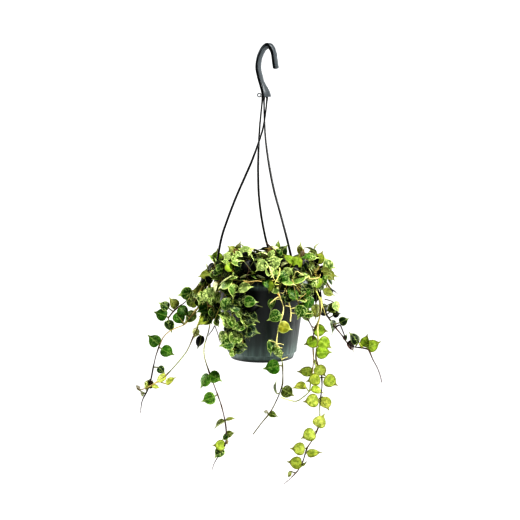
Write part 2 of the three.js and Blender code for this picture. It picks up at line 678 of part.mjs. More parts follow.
function crownRoute(root, radius, angle) {
  const share = radius / 52;
  const rightward = Math.max(0, Math.cos(degToRad(angle)));
  const reach = lerp(30, 36, share) + 6 * seededRandom() + 8 * share * rightward;
  const top = lerp(RIM_TOP_Z + 33, RIM_TOP_Z + 14, share) + 5 * seededRandom();
  const drop = lerp(3, 18, share) + 6 * seededRandom();
  const sway = (seededRandom() - 0.5) * 40;
  return [
    polar(radius + reach * 0.12, angle, top - 12),
    polar(radius + reach * 0.42, angle + sway * 0.3, top),
    polar(radius + reach * 0.75, angle + sway * 0.7, top - drop * 0.35),
    polar(radius + reach, angle + sway, top - drop),
  ];
}

function addCrownStem(index) {
  for (let attempt = 0; attempt < 60; attempt += 1) {
    const radius = 50 * Math.sqrt((index + 0.6) / CROWN_STEMS) + 4 * (seededRandom() - 0.5);
    const angle = index * 137.5 + (attempt === 0 ? 0 : 30 * (seededRandom() - 0.5) * attempt);
    const root = polar(radius, angle, 0);
    const points = stemLine([root.x, root.y], crownRoute(root, radius, angle));
    if (lineIsClear(points)) {
      addVine(`vine_crown_${String(index + 1).padStart(2, '0')}`, points, GREEN);
      return;
    }
  }
}

// Which way a leaf faces at a point: out of the mound, and level with the wall where it hangs.
function outwards(point) {
  const heart = new Vector3(POT_AXIS_X, 0, Math.min(RIM_TOP_Z - 25, point.z - 4));
  const way = point.clone().sub(heart).normalize();
  const level = way.clone().setZ(0).normalize();
  return way.addScaledVector(level, 0.35).normalize();
}

function placePair(vine, index, leafLength) {
  const { tangent } = vine.frames[index];
  const root = vine.points[index];
  const out = outwards(root);
  const side = tangent.clone().cross(out).normalize();
  const jitter = () => (seededRandom() - 0.5) * 0.8;
  for (const hand of [1, -1]) {
    for (let attempt = 0; attempt < 24; attempt += 1) {
      const length = leafLength * lerp(0.8, 1.1, seededRandom()) * (attempt > 15 ? 0.8 : 1);
      const pointing = side.clone().multiplyScalar(hand)
        .addScaledVector(tangent, lerp(0, 0.9, seededRandom()))
        .addScaledVector(out, lerp(-0.2, 0.7, seededRandom()))
        .addScaledVector(UP, -0.2).normalize();
      const facing = out.clone().add(new Vector3(jitter(), jitter(), jitter() + 0.25));
      const base = root.clone().addScaledVector(side, hand * 1.5)
        .addScaledVector(pointing, lerp(0.8, 1.8, seededRandom()) * PETIOLE)
        .addScaledVector(out, 3 * seededRandom());
      if (addLeaf(vine, index, base, length, pointing, facing)) break;
    }
  }
}

function placeTip(vine, leafLength) {
  const index = vine.points.length - 1;
  const { tangent } = vine.frames[index];
  const out = outwards(vine.points[index]);
  for (let attempt = 0; attempt < 12; attempt += 1) {
    const bend = new Vector3(seededRandom() - 0.5, seededRandom() - 0.5, -0.3 * seededRandom());
    const pointing = tangent.clone().add(bend).addScaledVector(out, 0.3).normalize();
    const base = vine.points[index].clone().addScaledVector(out, 3)
      .addScaledVector(pointing, 0.8 * PETIOLE);
    if (addLeaf(vine, index, base, leafLength, pointing, out)) return;
  }
}

// Leaf pairs at every second point of some stems, in turns, from their tips back to the soil.
function fillByTurns(stems, leafLength) {
  const longest = Math.max(...stems.map(({ points }) => points.length));
  for (let back = 2; back < longest; back += 2) {
    stems.filter(({ points }) => points.length - back >= BARE_POINTS)
      .forEach((vine) => placePair(vine, vine.points.length - back, leafLength));
  }
}

// One closed mesh of a stem and its leaves. A node has two sections close together, and bare
// stretches have one at every second point.
function vineSolid(vine) {
  const points = [];
  const triangles = [];
  const last = vine.points.length - 1;
  const section = (index, shift, swell) => {
    const { tangent, sides } = vine.frames[index];
    const radius = stemRadius(vine, index) * swell;
    const centre = vine.points[index].clone().addScaledVector(tangent, shift);
    return [0, 1, 2, 3].map((k) => {
      const way = sides[(k + 3) % 4].clone().add(sides[k]).normalize();
      return points.push(centre.clone().addScaledVector(way, radius)) - 1;
    });
  };
  const wall = (from, to, k) => [from[k], from[(k + 1) % 4], to[(k + 1) % 4], to[k]];
  const panel = ([a, b, c, d]) => triangles.push([a, b, c], [a, c, d]);
  let previous = section(0, 0, 1);
  let previousIndex = 0;
  panel([...previous].reverse());
  for (let index = 1; index <= last; index += 1) {
    const grown = vine.leaves.filter((leaf) => leaf.index === index);
    if (grown.length > 0) {
      const below = section(index, -NODE_HALF, NODE_SWELL);
      const above = section(index, NODE_HALF, NODE_SWELL);
      for (let k = 0; k < 4; k += 1) {
        panel(wall(previous, below, k));
        const leaf = grown.find(({ side }) => side === k);
        if (leaf) growBlade(leaf, wall(below, above, k), points, triangles);
        else panel(wall(below, above, k));
      }
      previous = above;
      previousIndex = index;
    } else if (index <= 1 || index === last || index - previousIndex >= 2) {
      const next = section(index, 0, 1);
      for (let k = 0; k < 4; k += 1) panel(wall(previous, next, k));
      previous = next;
      previousIndex = index;
    }
  }
  panel(previous);
  return solidFromTriangles(points, triangles);
}

// Soil: fills the pot to a little below the rim, with a plain square hole round each stem.

function makeSoil() {
  const gap = TOUCH + 0.05;
  const fill = turned([
    [0, FLOOR_HEIGHT + WALL + gap],
    [FOOT_RADIUS - EDGE_BEVEL, FLOOR_HEIGHT + WALL + gap],
    [FOOT_TOP_RADIUS - WALL - 1, LEDGE_HEIGHT + 1.4],
    [innerRadius(LEDGE_HEIGHT + 1.4) - gap, LEDGE_HEIGHT + 1.4],
    [innerRadius(SOIL_HEIGHT - 2) - gap, SOIL_HEIGHT - 2],
    [innerRadius(SOIL_HEIGHT) - 5, SOIL_HEIGHT],
    [0, SOIL_HEIGHT + SOIL_CROWN],
  ], 32);
  const width = STEM_BASE_RADIUS * Math.SQRT2 + 2 * gap;
  return vines.reduce((soil, { points: [foot] }) => {
    const hole = new THREE.BoxGeometry(width, width, 2 * (ROOT_DEPTH + TOUCH));
    hole.translate(foot.x, foot.y, SOIL_TOP_Z);
    return soil.subtract(solidOf(hole));
  }, fill);
}

// Growing the plant: all stems first, then the leaves one by one, each where it has room.

function growPlant() {
  seededRandom(SEED);
  CLIP_ANGLES.forEach((_, index) => {
    lineSamples(strandPoints(index)).forEach((point) => take(point, 'strand', 'hanger'));
  });
  const traced = TRACED.map(({ name, root, route, colour, leaves }) => (
    { vine: addVine(name, stemLine(root, route.map(at)), colour), leaves }));
  const back = BACK_VINES.map(addBackVine);
  for (let i = 0; i < CROWN_STEMS; i += 1) addCrownStem(i);
  const crown = vines.filter(({ name }) => name.startsWith('vine_crown'));
  traced.forEach(({ vine, leaves }) => leaves.forEach((leaf) => placeTraced(vine, leaf)));
  [...back, ...crown].forEach((vine) => placeTip(vine, LEAF_LENGTH * 0.85));
  fillByTurns(crown, LEAF_LENGTH);
  fillByTurns(back, LEAF_LENGTH);
  traced.forEach(({ vine }) => [5, 8, 11].forEach((index) => placePair(vine, index, LEAF_LENGTH)));
  const bare = crown.filter(({ leaves }) => leaves.length === 0);
  bare.forEach((vine) => vines.splice(vines.indexOf(vine), 1));
}

const plastic = (color) => new THREE.MeshStandardMaterial({ color, roughness: 0.42, metalness: 0 });
const foliage = (color) => new THREE.MeshStandardMaterial({ color, roughness: 0.55, metalness: 0 });
const peat = new THREE.MeshStandardMaterial({ color: 0x2c211a, roughness: 0.95, metalness: 0 });

growPlant();

const group = new THREE.Group();
group.add(meshOf('pot', makePot(), plastic(0x394246)));
group.add(meshOf('hanger', makeHanger(), plastic(0x2f3739)));
group.add(meshOf('soil', makeSoil(), peat));
vines.forEach((vine) => group.add(meshOf(vine.name, vineSolid(vine), foliage(vine.colour))));

export default group;
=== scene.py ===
"""A trailing hoya with small, thick, spade-shaped leaves in a hanging pot.

Each plant's stem and blades are found in its CAD mesh, and finer ones are grown in the same places
by Geometry Nodes. Metres, +Z up, +Y away from the viewer, origin at the seat of the hook.
"""

import json
import math
import random
from functools import partial

import bmesh
import bpy
import numpy as np
from bpy.props import FloatProperty, FloatVectorProperty, IntProperty, PointerProperty
from mathutils import Matrix, Vector

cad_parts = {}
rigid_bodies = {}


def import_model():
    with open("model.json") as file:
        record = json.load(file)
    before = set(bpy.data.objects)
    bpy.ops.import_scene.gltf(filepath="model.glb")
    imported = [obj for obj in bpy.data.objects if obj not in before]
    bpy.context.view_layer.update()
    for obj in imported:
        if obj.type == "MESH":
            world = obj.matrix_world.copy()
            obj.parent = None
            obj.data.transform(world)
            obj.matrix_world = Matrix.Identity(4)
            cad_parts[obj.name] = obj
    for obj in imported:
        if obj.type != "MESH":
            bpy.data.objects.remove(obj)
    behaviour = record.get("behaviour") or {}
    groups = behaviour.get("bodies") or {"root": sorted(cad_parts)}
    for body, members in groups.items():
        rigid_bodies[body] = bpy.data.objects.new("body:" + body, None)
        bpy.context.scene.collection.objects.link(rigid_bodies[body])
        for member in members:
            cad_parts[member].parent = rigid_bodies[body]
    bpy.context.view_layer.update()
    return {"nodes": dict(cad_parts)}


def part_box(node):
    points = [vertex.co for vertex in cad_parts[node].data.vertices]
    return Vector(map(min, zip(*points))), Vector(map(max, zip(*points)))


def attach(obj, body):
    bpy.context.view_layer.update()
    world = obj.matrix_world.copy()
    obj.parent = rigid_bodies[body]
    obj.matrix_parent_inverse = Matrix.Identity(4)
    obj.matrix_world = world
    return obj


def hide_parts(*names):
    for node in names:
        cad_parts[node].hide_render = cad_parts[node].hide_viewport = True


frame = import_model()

bl_info = {
    "name": "Hoya in a Hanging Pot",
    "version": (1, 0, 0),
    "blender": (4, 5, 0),
    "location": "View3D > Sidebar > Hoya",
    "description": "Grows a trailing hoya in a hanging nursery pot",
    "category": "Object",
}

MM = 0.001

# The pot's axis and heights, as in the solids
POT_X = sum(c.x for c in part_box("pot")) / 2
POT_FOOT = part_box("pot")[0].z
POT_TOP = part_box("pot")[1].z
SOIL_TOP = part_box("soil")[1].z

# The camera stands where the photographer stood. Places read off the photo are in pixels of a view
# 520 pixels wide.
CAMERA_PLACE = Vector((-0.01227, -1.9, -0.091))
CAMERA_PITCH = math.radians(6.4)
CAMERA_LENS = 91.2
CAMERA_SENSOR = 36
VIEW_PIXELS = 520
VIEW_FOCUS = VIEW_PIXELS * CAMERA_LENS / CAMERA_SENSOR


def linear(code):
    """The linear colour of an sRGB hex value such as "4c7a2a"."""
    channels = [int(code[i:i + 2], 16) / 255 for i in (0, 2, 4)]
    return tuple(c / 12.92 if c <= 0.04045 else ((c + 0.055) / 1.055) ** 2.4 for c in channels)


def opaque(code):
    return (*linear(code), 1.0)


def seen_at(px, py, y):
    """The point at depth y that shows at a pixel of the view."""
    across, up = (px - VIEW_PIXELS / 2) / VIEW_FOCUS, (VIEW_PIXELS / 2 - py) / VIEW_FOCUS
    c, s = math.cos(CAMERA_PITCH), math.sin(CAMERA_PITCH)
    ray = Vector((across, c + up * s, up * c - s))
    return CAMERA_PLACE + ray * ((y - CAMERA_PLACE.y) / ray.y)


def pixel_of(point):
    """Where a point shows in the view."""
    p = point - CAMERA_PLACE
    c, s = math.cos(CAMERA_PITCH), math.sin(CAMERA_PITCH)
    depth, up = p.y * c - p.z * s, p.y * s + p.z * c
    return Vector((VIEW_PIXELS / 2 + VIEW_FOCUS * p.x / depth, VIEW_PIXELS / 2 - VIEW_FOCUS * up / depth))


def smooth_path(points, steps):
    """A Catmull-Rom path through points."""
    points = [Vector(p) for p in points]
    ends = [points[0] * 2 - points[1], *points, points[-1] * 2 - points[-2]]
    path = []
    for a, b, c, d in zip(ends, ends[1:], ends[2:], ends[3:]):
        for k in range(steps):
            t = k / steps
            path.append(0.5 * (2 * b + (c - a) * t + (2 * a - 5 * b + 4 * c - d) * t * t
                               + (3 * b - a - 3 * c + d) * t ** 3))
    return path + [points[-1]]


def ease(value, low, high):
    t = min(max((value - low) / (high - low), 0), 1)
    return t * t * (3 - 2 * t)


def add_node(tree, kind, **settings):
    """A new node with its settings. A key that isn't a setting of the node is an input, by its
    name or, as _0, by its place. An input gets a value, or a link from a socket or from a node's
    first live output."""
    node = tree.nodes.new(kind)
    inputs = {key: value for key, value in settings.items() if not hasattr(node, key)}
    for key, value in settings.items():
        if key not in inputs:
            setattr(node, key, value)
    for key, value in inputs.items():
        if key[0] == "_":
            socket = node.inputs[int(key[1:])]
        else:
            socket = next(s for s in node.inputs if s.enabled and s.name.replace(" ", "_") == key)
        if isinstance(value, bpy.types.Node):
            value = next(s for s in value.outputs if s.enabled)
        if isinstance(value, bpy.types.NodeSocket):
            tree.links.new(value, socket)
        else:
            socket.default_value = value
    return node


def multiply(node, first, second, **settings):
    return node("ShaderNodeMath", operation="MULTIPLY", _0=first, _1=second, **settings)


# Materials

def new_material(name):
    """A material without nodes, and what adds nodes to it."""
    material = bpy.data.materials.new(name)
    material.use_nodes = True
    material.node_tree.nodes.clear()
    return material, partial(add_node, material.node_tree)


def noise(node, place, size, detail=2.0):
    """A cloudy pattern whose clouds are size mm across."""
    return node("ShaderNodeTexNoise", Vector=place, Scale=1 / (size * MM), Detail=detail)


def map_range(node, value, low, high, at_low=0.0, at_high=1.0):
    """What goes from at_low to at_high while the value goes from low to high."""
    return node("ShaderNodeMapRange", Value=value, _1=low, _2=high, _3=at_low, _4=at_high)


def mix_colours(node, share, first, second, **settings):
    """The first colour, with a share of the second in its place."""
    return node("ShaderNodeMix", data_type="RGBA", _0=share, _6=first, _7=second, **settings)


def bump(node, height, strength, depth):
    """The normal of a surface with a relief that is depth mm deep."""
    return node("ShaderNodeBump", Strength=strength, Distance=depth * MM, Height=height)


def finish_material(material, node, **surface):
    node("ShaderNodeOutputMaterial", Surface=node("ShaderNodeBsdfPrincipled", **surface))
    return material


# How much the pot is paled by painted light, by height in mm above its foot: most at the ledge and on
# the rim's skirt as painted highlights, some on the lower wall as a painted reflection, and nothing
# round the foot's edge or under the skirt, which stay dark as painted shade
PAINTED_LIGHT_BY_HEIGHT = ((2, 0.0), (4.5, 0.42), (9.3, 0.72), (12, 0.6), (27, 0.24), (60, 0.02), (105, 0.0),
         (107.5, 0.2), (112, 1.0), (115, 0.6), (119, 0.1))


def moulded_plastic(name, colour, roughness, painted_light=()):
    """Injection-moulded polypropylene: satin, a little cloudy, with a fine spark-eroded grain.
    Painted light pales it by height, as painted highlights and reflections in upright streaks."""
    material, node = new_material(name)
    place = node("ShaderNodeTexCoord").outputs["Object"]
    cloud = noise(node, place, 34, detail=3.0)
    tone = map_range(node, cloud, 0.3, 0.7, 0.8, 1.2)
    shade = node("ShaderNodeVectorMath", operation="SCALE", _0=colour, Scale=tone)
    if painted_light:
        # Upright streaks of painted reflection 5 mm wide
        drawn_out = node("ShaderNodeVectorMath", operation="MULTIPLY", _0=place, _1=(1, 1, 0.05))
        streak = map_range(node, noise(node, drawn_out, 5, detail=3.0), 0.35, 0.7, 0.5, 1.0)
        height = node("ShaderNodeSeparateXYZ", Vector=place).outputs[2]
        ramp = node("ShaderNodeValToRGB", Fac=map_range(node, height, POT_FOOT, POT_TOP))
        stops = ramp.color_ramp.elements
        stops.remove(stops[1])
        for above_foot, strength in painted_light:
            stops.new(above_foot * MM / (POT_TOP - POT_FOOT)).color = (strength, strength, strength, 1)
        # Painted light: a paler colour by height, in streaks
        amount = multiply(node, ramp.outputs["Color"], streak)
        shade = mix_colours(node, amount, shade, opaque("6c7f79"))
    gloss = map_range(node, cloud, 0.3, 0.7, roughness - 0.05, roughness + 0.07)
    grain = bump(node, noise(node, place, 0.6), strength=0.25, depth=0.08)
    return finish_material(material, node, Base_Color=shade, Roughness=gloss, IOR=1.49,
                           Specular_IOR_Level=0.35, Normal=grain)


def leaf_skin():
    """Thick waxy hoya leaf. Each leaf has its own tint. Silver flecks show where air lies under
    the skin. On some leaves the rim is thinner and paler, partly a painted highlight on the lit edge,
    and on others darker and browner, partly painted shade on the thick edge. The underside
    is matt and pale."""
    material, node = new_material("Waxy hoya leaf")
    place = node("ShaderNodeTexCoord").outputs["Object"]
    tint = node("ShaderNodeAttribute", attribute_name="tint").outputs["Color"]
    rim, under, edge, across, fleck = (node("ShaderNodeAttribute", attribute_name=name).outputs["Fac"]
                                       for name in ("rim", "under", "edge", "across", "fleck"))
    # Light and dark clouds 5 mm across, from uneven growth
    cloud = noise(node, place, 5)
    darker = mix_colours(node, 1.0, tint, opaque("8a9a6c"), blend_type="MULTIPLY")
    skin = mix_colours(node, map_range(node, cloud, 0.38, 0.62, 0.0, 0.65), tint, darker)
    # Silver flecks 2 mm across, crowded where a second, coarser pattern lets them
    speck = noise(node, place, 2.2, detail=1.5)
    crowd = noise(node, place, 7, detail=0.0)
    marks = multiply(node, map_range(node, speck, 0.47, 0.61), map_range(node, crowd, 0.3, 0.55))
    skin = mix_colours(node, multiply(node, marks, fleck), skin, opaque("b8c684"))
    # The outer 1.5 mm, paler where rim is positive and darker where it's negative: partly the edge's
    # own colour, partly painted highlight and painted shade
    band = map_range(node, edge, 0.74, 0.98)
    for sign, colour in ((1.0, "c2cf86"), (-1.0, "52461c")):
        share = multiply(node, rim, sign, use_clamp=True)
        skin = mix_colours(node, multiply(node, band, share), skin, opaque(colour))
    # A faint midrib 0.6 mm wide, and the pale underside
    aside = node("ShaderNodeMath", operation="ABSOLUTE", _0=across)
    rib = map_range(node, aside, 0.0, 0.06, 0.22, 0.0)
    skin = mix_colours(node, rib, skin, opaque("b9c67c"))
    skin = mix_colours(node, multiply(node, under, 0.4), skin, opaque("c6cb9e"))
    gloss = map_range(node, under, 0.0, 1.0, 0.45, 0.65)
    height = node("ShaderNodeMath", operation="MULTIPLY_ADD", _0=speck, _1=0.25, _2=cloud)
    relief = bump(node, height, strength=0.6, depth=0.4)
    return finish_material(material, node, Base_Color=skin, Roughness=gloss, IOR=1.45, Normal=relief,
                           Specular_IOR_Level=0.2, Subsurface_Weight=0.1,
                           Subsurface_Radius=(0.6, 1.0, 0.25), Subsurface_Scale=1.2 * MM)


def stem_bark():
    """Wiry hoya stem: cream or tan when thick, brown and lilac towards its tip, and mottled."""
    material, node = new_material("Hoya stem")
    place = node("ShaderNodeTexCoord").outputs["Object"]
    tint = node("ShaderNodeAttribute", attribute_name="tint").outputs["Color"]
    mottle = noise(node, place, 2.5, detail=3.0)
    tone = map_range(node, mottle, 0.35, 0.65, 0.65, 1.15)
    shade = node("ShaderNodeVectorMath", operation="SCALE", _0=tint, Scale=tone)
    relief = bump(node, mottle, strength=0.6, depth=0.2)
    return finish_material(material, node, Base_Color=shade, Roughness=0.6, Normal=relief)


def potting_mix():
    """Moist peat and bark fines: matt, dark brown, with paler fibres."""
    material, node = new_material("Peat potting mix")
    place = node("ShaderNodeTexCoord").outputs["Object"]
    grit = noise(node, place, 2.2, detail=5.0)
    shade = mix_colours(node, map_range(node, grit, 0.4, 0.7), opaque("17100c"), opaque("6b4f38"))
    relief = bump(node, grit, strength=1.0, depth=1.2)
    return finish_material(material, node, Base_Color=shade, Roughness=0.95, Normal=relief)


def studio_paper(name, colour, glow):
    """Seamless paper. Behind the plant it's translucent and lit evenly from its far side."""
    material, node = new_material(name)
    return finish_material(material, node, Base_Color=opaque(colour), Roughness=0.9,
                           Emission_Color=(1, 1, 1, 1), Emission_Strength=glow)


# Meshes and pieces

def new_object(name, mesh):
    thing = bpy.data.objects.new(name, mesh)
    bpy.context.scene.collection.objects.link(thing)
    return thing


def mesh_of(name, *shells, sharp=40):
    """A smooth mesh of closed shells, each its points and faces, with edges sharper than the given
    degrees kept and faces outward."""
    bm = bmesh.new()
    for points, faces in shells:
        vertices = [bm.verts.new(p) for p in points]
        for face in faces:
            bm.faces.new([vertices[i] for i in face])
    bmesh.ops.remove_doubles(bm, verts=bm.verts, dist=1e-6)
    bmesh.ops.recalc_face_normals(bm, faces=bm.faces)
    mesh = bpy.data.meshes.new(name)
    bm.to_mesh(mesh)
    bm.free()
    mesh.shade_smooth()
    mesh.set_sharp_from_angle(angle=math.radians(sharp))
    return mesh


def apply_modifiers(thing):
    """Swaps an object's mesh for its evaluated one and drops its modifiers."""
    graph = bpy.context.evaluated_depsgraph_get()
    mesh = bpy.data.meshes.new_from_object(thing.evaluated_get(graph))
    mesh.name = thing.name
    thing.modifiers.clear()
    thing.data = mesh


def finish_piece(piece, nodes=(), material=None):
    """Puts a finished piece on the body, in place of its CAD nodes."""
    if material:
        piece.data.materials.append(material)
    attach(piece, "root")
    if nodes:
        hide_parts(*nodes)


def lathe(profile, segments, x=POT_X, y=0.0, z=POT_FOOT):
    """Points and faces of a closed [radius, height] profile in mm turned about an upright axis."""
    size = len(profile)
    points = [(x + r * MM * math.cos(turn), y + r * MM * math.sin(turn), z + h * MM)
              for turn in (2 * math.pi * k / segments for k in range(segments)) for r, h in profile]
    faces = []
    for k in range(segments):
        a, b = k * size, (k + 1) % segments * size
        for i in range(size):
            j = (i + 1) % size
            if profile[i][0] and profile[j][0]:
                faces.append((a + i, b + i, b + j, a + j))
            elif profile[i][0] or profile[j][0]:
                off, on = (i, j) if profile[i][0] else (j, i)
                faces.append((a + off, b + off, a + on))
    return points, faces


def new_tree(name, **defaults):
    """A Geometry Nodes tree with named inputs, what adds nodes to it, and its inputs' sockets."""
    tree = bpy.data.node_groups.new(name, "GeometryNodeTree")
    tree.interface.new_socket("Geometry", in_out="INPUT", socket_type="NodeSocketGeometry")
    for key, value in defaults.items():
        kind = "NodeSocketInt" if isinstance(value, int) else "NodeSocketFloat"
        label = key.replace("_", " ")
        tree.interface.new_socket(label, in_out="INPUT", socket_type=kind).default_value = value
    tree.interface.new_socket("Geometry", in_out="OUTPUT", socket_type="NodeSocketGeometry")
    return tree, partial(add_node, tree), add_node(tree, "NodeGroupInput").outputs


def run_tree(thing, tree, **values):
    """Runs a tree on an object with inputs set by their names, and keeps the result."""
    modifier = thing.modifiers.new(tree.name, "NODES")
    modifier.node_group = tree
    for item in tree.interface.items_tree:
        if item.in_out == "INPUT" and item.name.replace(" ", "_") in values:
            modifier[item.identifier] = values[item.name.replace(" ", "_")]
    apply_modifiers(thing)


def sweep(node, lines, sides, smoothness, scale, material):
    """Round bars along edge lines, as thick as their attribute width."""
    width = node("GeometryNodeInputNamedAttribute", data_type="FLOAT", Name="width")
    curve = node("GeometryNodeMeshToCurve", Mesh=lines)
    curve = node("GeometryNodeCurveSplineType", spline_type="CATMULL_ROM", Curve=curve)
    curve = node("GeometryNodeSetSplineResolution", Geometry=curve, Resolution=smoothness)
    ring = node("GeometryNodeCurvePrimitiveCircle", Resolution=sides, Radius=1.0)
    radius = multiply(node, width, scale)
    bars = node("GeometryNodeCurveToMesh", Curve=curve, Profile_Curve=ring, Scale=radius, Fill_Caps=True)
    return node("GeometryNodeSetMaterial", Geometry=bars, Material=material)


# Plants, as the solids have them

# How the solids draw a blade: its width against its length, how far its tip droops, and the corners
# that each of its two hubs is joined to
BLADE_WIDTH_RATIO = 0.98
BLADE_TIP_RISE = -0.17
HUB_NEIGHBOURS = 12
# Stems stand at this height, within this distance of the pot's axis. Two of a stem's rings that
# are closer than a joint's length are the ends of one swollen joint.
STEM_FOOT, STEM_FOOT_REACH = -0.348, 0.06
LEVEL_WITHIN = 0.2 * MM
JOINT_LENGTH = 2.4 * MM


def read_plant(node):
    """A plant's blades and the points and radii of its stem, found in its CAD mesh. A blade's two
    hubs share its nine rim points and two corners of the stem's side that it grows from."""
    bm = bmesh.new()
    bm.from_mesh(frame["nodes"][node].data)
    bmesh.ops.remove_doubles(bm, verts=bm.verts, dist=0.01 * MM)
    near = {v: {e.other_vert(v) for e in v.link_edges} for v in bm.verts}
    hubs = [v for v in bm.verts if len(near[v]) == HUB_NEIGHBOURS]
    blades, blade_points = [], set()
    for i, a in enumerate(hubs):
        for b in hubs[i + 1:]:
            if len(near[a] & near[b]) == HUB_NEIGHBOURS - 1:
                blades.append(read_blade(a, b, near, blade_points))
    layer = {v for v in bm.verts if v not in blade_points and abs(v.co.z - STEM_FOOT) < LEVEL_WITHIN
             and math.hypot(v.co.x - POT_X, v.co.y) < STEM_FOOT_REACH}
    seen, line = set(), []
    while layer:
        centre = sum((v.co for v in layer), Vector()) / len(layer)
        radius = sum((v.co - centre).length for v in layer) / len(layer)
        if line and (centre - line[-1][0]).length < JOINT_LENGTH:
            line[-1] = ((centre + line[-1][0]) / 2, radius, True)
        else:
            line.append((centre, radius, False))
        seen |= layer
        layer = {w for v in layer for w in near[v]} - seen - blade_points
    bm.free()
    return blades, line


def read_blade(a, b, near, blade_points):
    """One blade, from its two hubs."""
    (own_a,), (own_b,) = near[a] - near[b] - {b}, near[b] - near[a] - {a}
    follow = {}
    for face in a.link_faces:
        turn = [loop.vert for loop in face.loops]
        at = turn.index(a)
        follow[turn[(at + 1) % 3]] = turn[(at + 2) % 3]
    ring = [own_a]
    while len(ring) < HUB_NEIGHBOURS:
        ring.append(follow[ring[-1]])
    rim = ring[2:11]
    blade_points |= {a, b, *rim}
    up = (a.co - b.co).normalized()
    if (sum((v.co for v in rim), Vector()) / len(rim) - (a.co + b.co) / 2).dot(up) > 0:
        up.negate()
    length = (rim[6].co - rim[2].co).length / BLADE_WIDTH_RATIO
    base = (rim[0].co + rim[8].co) / 2
    forward = (rim[4].co - base - up * BLADE_TIP_RISE * length).normalized()
    root = sum((v.co for v in (own_a, ring[1], ring[11], own_b)), Vector()) / 4
    return {"base": base, "root": root, "forward": forward, "up": up, "length": length}


PLANTS = {name: read_plant(name) for name in sorted(frame["nodes"]) if name.startswith("vine")}


# Leaf forms: a closed blade one unit long for Geometry Nodes to place. Outline stations are
# [along, half width, height of the midrib]. The last two make the narrow drip tip.

OUTLINE = [(0.0, 0.12, 0.0), (0.05, 0.33, 0.01), (0.18, 0.47, 0.02), (0.38, 0.525, 0.03),
           (0.58, 0.48, 0.03), (0.75, 0.37, 0.02), (0.87, 0.215, 0.0), (0.95, 0.105, -0.02),
           (1.04, 0.06, -0.04), (1.19, 0.018, -0.06)]
ACROSS_TOP = (-1.0, -0.6, 0.0, 0.6, 1.0)
ACROSS_UNDER = (-1.0, 0.0, 1.0)
# Half the blade's thickness, which thins where the blade is narrower than TAPER_FROM
BLADE_HALF = 0.045
TAPER_FROM = 0.2
# The rim's attribute rises from the blade's middle, and is 1 at its sides, foot and tip
BLADE_MIDDLE, BLADE_REACH = 0.45, 0.48

# Dome, fold along the midrib, twist and bow of each form, and how often it is drawn
LEAF_FORMS = [(0.16, 0.16, 0.05, -0.04), (0.1, 0.26, 0.14, -0.1), (0.2, 0.06, -0.22, -0.14),
              (0.05, 0.55, 0.1, 0.08), (0.12, 0.38, -0.16, -0.18)]
FORM_WEIGHTS = (3, 3, 3, 2, 2)


def leaf_form(name, dome, fold, twist, bow):
    """A blade whose sides fall by dome, rise by fold from the midrib and twist towards the tip, and
    whose length rises by bow."""
    points, edge, across = [], [], []
    rows = {1: [], -1: []}
    for along, half, height in OUTLINE:
        body = BLADE_HALF * min(1, half / TAPER_FROM) ** 0.5
        for side, steps in ((1, ACROSS_TOP), (-1, ACROSS_UNDER)):
            row = []
            for u in steps:
                if side < 0 and abs(u) == 1:
                    row.append(rows[1][-1][0 if u < 0 else -1])
                    continue
                rise = height + bow * along ** 2 + half * (fold * abs(u) + twist * along * u - dome * u * u)
                row.append(len(points))
                points.append((along, u * half, rise + side * body * (1 - u ** 4)))
                edge.append(max(abs(u), abs(along - BLADE_MIDDLE) / BLADE_REACH))
                across.append(u * half)
            rows[side].append(row)
    faces, under = [], []
    for side, bands in rows.items():
        for a, b in zip(bands, bands[1:]):
            for k in range(len(a) - 1):
                quad = (a[k], b[k], b[k + 1], a[k + 1])
                faces.append(quad if side > 0 else quad[::-1])
                under.append(0.0 if side > 0 else 1.0)
    for end, turn in ((0, -1), (-1, 1)):
        faces.append((rows[1][end] + rows[-1][end][-2:0:-1])[::turn])
        under.append(0.0)
    mesh = bpy.data.meshes.new(name)
    mesh.from_pydata(points, [], faces)
    for key, domain, values in (("edge", "POINT", edge), ("across", "POINT", across),
                                ("under", "FACE", under)):
        mesh.attributes.new(key, "FLOAT", domain).data.foreach_set("value", values)
    mesh.shade_smooth()
    mesh.set_sharp_from_angle(angle=math.radians(70))
    return bpy.data.objects.new(name, mesh)


def growth_tree(bark, skin, forms):
    """Turns edge lines into stems and loose points into leaves."""
    tree, node, given = new_tree("Grow stems and leaves", Stem_Sides=7, Stem_Smoothness=3, Stem_Scale=1.0,
                                 Leaf_Scale=1.0)
    is_leaf, form, turn, size = (node("GeometryNodeInputNamedAttribute", data_type=kind, Name=name)
                                 for name, kind in (("is_leaf", "BOOLEAN"), ("form", "INT"),
                                                    ("turn", "QUATERNION"), ("size", "FLOAT")))
    parts = node("GeometryNodeSeparateGeometry", domain="POINT", Geometry=given["Geometry"],
                 Selection=is_leaf).outputs
    stems = sweep(node, parts["Inverted"], given["Stem Sides"], given["Stem Smoothness"],
                  given["Stem Scale"], bark)
    spots = node("GeometryNodeMeshToPoints", Mesh=parts["Selection"])
    shapes = node("GeometryNodeCollectionInfo", Collection=forms, Separate_Children=True, Reset_Children=True)
    scale = multiply(node, size, given["Leaf Scale"])
    leaves = node("GeometryNodeInstanceOnPoints", Points=spots, Instance=shapes, Pick_Instance=True,
                  Instance_Index=form, Rotation=turn, Scale=scale)
    solid = node("GeometryNodeRealizeInstances", Geometry=leaves)
    waxy = node("GeometryNodeSetMaterial", Geometry=solid, Material=skin)
    both = node("GeometryNodeJoinGeometry")
    for part in (stems, waxy):
        tree.links.new(part.outputs[0], both.inputs[0])
    node("NodeGroupOutput", Geometry=both)
    return tree
